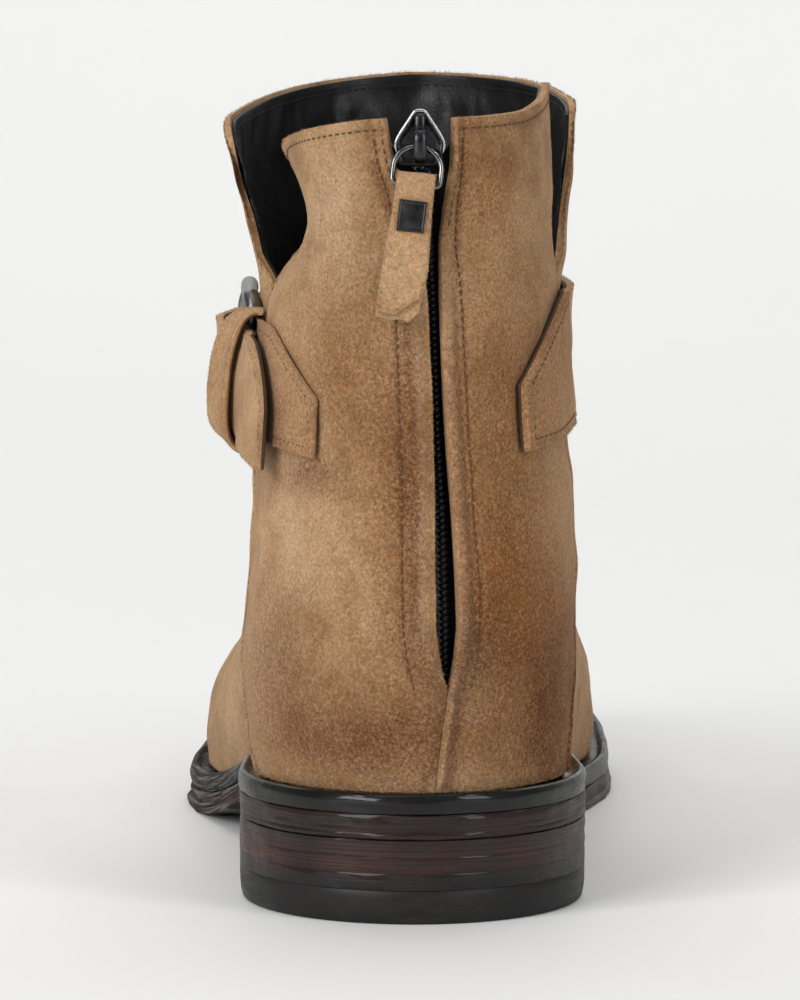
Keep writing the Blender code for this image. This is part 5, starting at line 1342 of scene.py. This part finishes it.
def fibreEdge(base, way, settings, seed):  # bent three-sided spikes that lean out of an edge at random
    draw = np.random.default_rng(seed)
    walk = wayAlong(base)
    count = int(walk[-1] / settings["every"])
    at = np.sort(draw.uniform(0, walk[-1], count))
    start, out = readAlong(at, walk, base), readAlong(at, walk, unit(way))
    lean = unit(out + draw.normal(0, settings["stray"], (count, 3)))
    turned = unit(lean + draw.normal(0, settings["curl"], (count, 3)))
    length = settings["length"] * draw.uniform(0.3, 1.0, (count, 1))
    middle = start + lean * length * 0.55
    tip = middle + turned * length * 0.45
    side = unit(np.cross(lean, draw.normal(size=(count, 3))))
    other = np.cross(lean, side)
    angle = np.radians([0, 120, 240])[:, None]
    ring = (np.cos(angle) * side[:, None] + np.sin(angle) * other[:, None]) * settings["radius"]
    root = (start - settings["rooted"] * lean)[:, None] + ring
    points = np.concatenate([root, middle[:, None] + 0.7 * ring, tip[:, None]], axis=1)
    first = (np.arange(count) * points.shape[1])[:, None, None]
    quads = np.array([(0, 1, 4, 3), (1, 2, 5, 4), (2, 0, 3, 5)]) + first
    tips = np.array([(3, 4, 6), (4, 5, 6), (5, 3, 6), (2, 1, 0)]) + first
    return points.reshape(-1, 3), quads.reshape(-1, 4).tolist() + tips.reshape(-1, 3).tolist()


def gridEdges(grid, *sides):  # base line and outward way of a grid's sides, a little inside the rounded cut
    pairs = {"left": (grid[:, 2], grid[:, 7]), "right": (grid[:, -3], grid[:, -8]),
             "top": (grid[-3], grid[-8]), "foot": (grid[2], grid[7])}
    return [(pairs[side][0], pairs[side][0] - pairs[side][1]) for side in sides]


tanEdges = gridEdges(suedePanels["outerQuarter"]["outer"], "left", "right", "top")
tanEdges += gridEdges(suedePanels["innerQuarter"]["outer"], "left", "right", "top")
slotRows = flap["level"][:, 0] > last["slotFoot"]
tanEdges += gridEdges(flap["outer"], "top") + gridEdges(flap["outer"][slotRows], "left", "right")
tanEdges += gridEdges(strapOuter, "left", "right", "top", "foot") + gridEdges(tabTop, "left", "right", "foot")
tanEdges += gridEdges(keeperOut, "left", "right")
parts = [fibreEdge(*pair, fibreSettings, 60 + number) for number, pair in enumerate(tanEdges)]
for number, panel in enumerate(suedePanels.values()):  # the foot of the suede, brushed against the welt
    ring = panel["outer"][1]
    parts.append(fibreEdge(ring, np.array([0, 0, -1.0]) + 0.6 * unit(ring * (1, 0.3, 0)), footFibres, 90 + number))
makePiece("suedeFibres", *joinParts(parts), suedeStrap, "boot", None, "suede")
topEdge = gridEdges(flap["outer"], "top")[0]
makePiece("darkFibres", *fibreEdge(*topEdge, topFibres, 95), blackThread, "boot", None, "suede")
pullEdges = gridEdges(pullTop, "left", "right", "top", "foot")
parts = [fibreEdge(*pair, pullFibres, 96 + number) for number, pair in enumerate(pullEdges)]
makePiece("pullTabFibres", *joinParts(parts), suedeStrap, "zip_pull", None, "suede")
print("fibres made")

# threads, joined

parts = [stitchRow(*row, stitchSettings) for row in tanRows] + [stitchRow(*row, flapStitch) for row in flapRows]
makePiece("tanStitches", *joinParts(parts), tanThread, "boot", None, "suede")
parts = [stitchRow(*row, liningStitch) for row in blackRows]
makePiece("liningStitches", *joinParts(parts), blackThread, "boot", None, "insole_leather")
print("stitches made")

# stage: a pale floor that curves up behind, soft boxes of light, and the camera

stageSettings = {"floor": (0.82, 0.82, 0.815, 1), "world": 0.22, "halfWide": 5.0, "near": -4.0, "bendAt": 1.6,
                 "bendRound": 1.2, "wallTop": 4.5}
bendRound, bend = stageSettings["bendRound"], np.radians(np.linspace(0, 90, 16))
curve = np.stack([stageSettings["bendAt"] + bendRound * np.sin(bend), bendRound - bendRound * np.cos(bend)], axis=-1)
profile = np.concatenate([[(stageSettings["near"], 0.0), (0.0, 0.0)], curve,
                          [(stageSettings["bendAt"] + bendRound, stageSettings["wallTop"])]])
floorPoints = np.stack(np.broadcast_arrays(
    np.array([-1, 1]) * stageSettings["halfWide"], profile[:, :1], profile[:, 1:]), axis=-1)
floorMesh = bpy.data.meshes.new("floor")
floorMesh.from_pydata(floorPoints.reshape(-1, 3).tolist(), [], gridFaces(len(profile), 2)[:, ::-1].tolist())
floorMesh.shade_smooth()
floorLook, floorTree, floorShader, floorPlace = newLook("floorLook", {"Roughness": 0.6, "Specular IOR Level": 0.25})
floorShade = remap(floorTree, noiseAt(floorTree, floorPlace, 3, 2, 0.5), 0.3, 0.7)
setInputs(floorTree, floorShader, {
    "Base Color": blendColor(floorTree, floorShade, stageSettings["floor"], shaded(stageSettings["floor"], 0.985))})
floorMesh.materials.append(floorLook)
floor = bpy.data.objects.new("floor", floorMesh)
bpy.context.scene.collection.objects.link(floor)

world = bpy.data.worlds.new("studio")
world.use_nodes = True
setInputs(world.node_tree, world.node_tree.nodes["Background"], {0: (1, 1, 1, 1), 1: stageSettings["world"]})
bpy.context.scene.world = world

lamps = [  # place, aimed at, width, height, watts
    ((-1.5, -1.6, 0.95), (0, 0.0, 0.09), 1.3, 1.3, 40), ((1.5, -1.5, 0.85), (0, 0.0, 0.09), 0.8, 1.2, 14),
    ((0.0, 0.1, 2.2), (0, 0.1, 0.0), 1.8, 1.4, 10), ((0.0, 1.9, 2.2), (0, 2.0, 0.0), 4.0, 1.6, 35),
    ((-1.0, -0.7, 1.5), (0, 0.0, 0.03), 0.22, 0.22, 2.5), ((1.0, -0.7, 1.5), (0, 0.0, 0.03), 0.22, 0.22, 2.5),
]
for number, (place, aim, wide, high, watts) in enumerate(lamps):
    lamp = bpy.data.lights.new(f"softBox{number}", "AREA")
    lamp.shape, lamp.size, lamp.size_y, lamp.energy = "RECTANGLE", wide, high, watts
    holder = bpy.data.objects.new(lamp.name, lamp)
    holder.location = place
    x, y, z = np.array(aim) - np.array(place)
    holder.rotation_euler = (math.atan2(math.hypot(x, y), -z), 0, math.atan2(y, x) - math.pi / 2)
    bpy.context.scene.collection.objects.link(holder)

cameraSettings = {"place": (-0.01405, -1.1859, 0.192), "yaw": 0.53, "pitch": 5.13, "lens": 201.1, "sensor": 36}
lens = bpy.data.cameras.new("camera")
lens.lens, lens.sensor_width = cameraSettings["lens"], cameraSettings["sensor"]
camera = bpy.data.objects.new("camera", lens)
camera.location = cameraSettings["place"]
camera.rotation_euler = (math.radians(90 - cameraSettings["pitch"]), 0, -math.radians(cameraSettings["yaw"]))
bpy.context.scene.collection.objects.link(camera)
bpy.context.scene.camera = camera
bpy.context.scene.view_settings.view_transform = "Standard"
print("stage set")
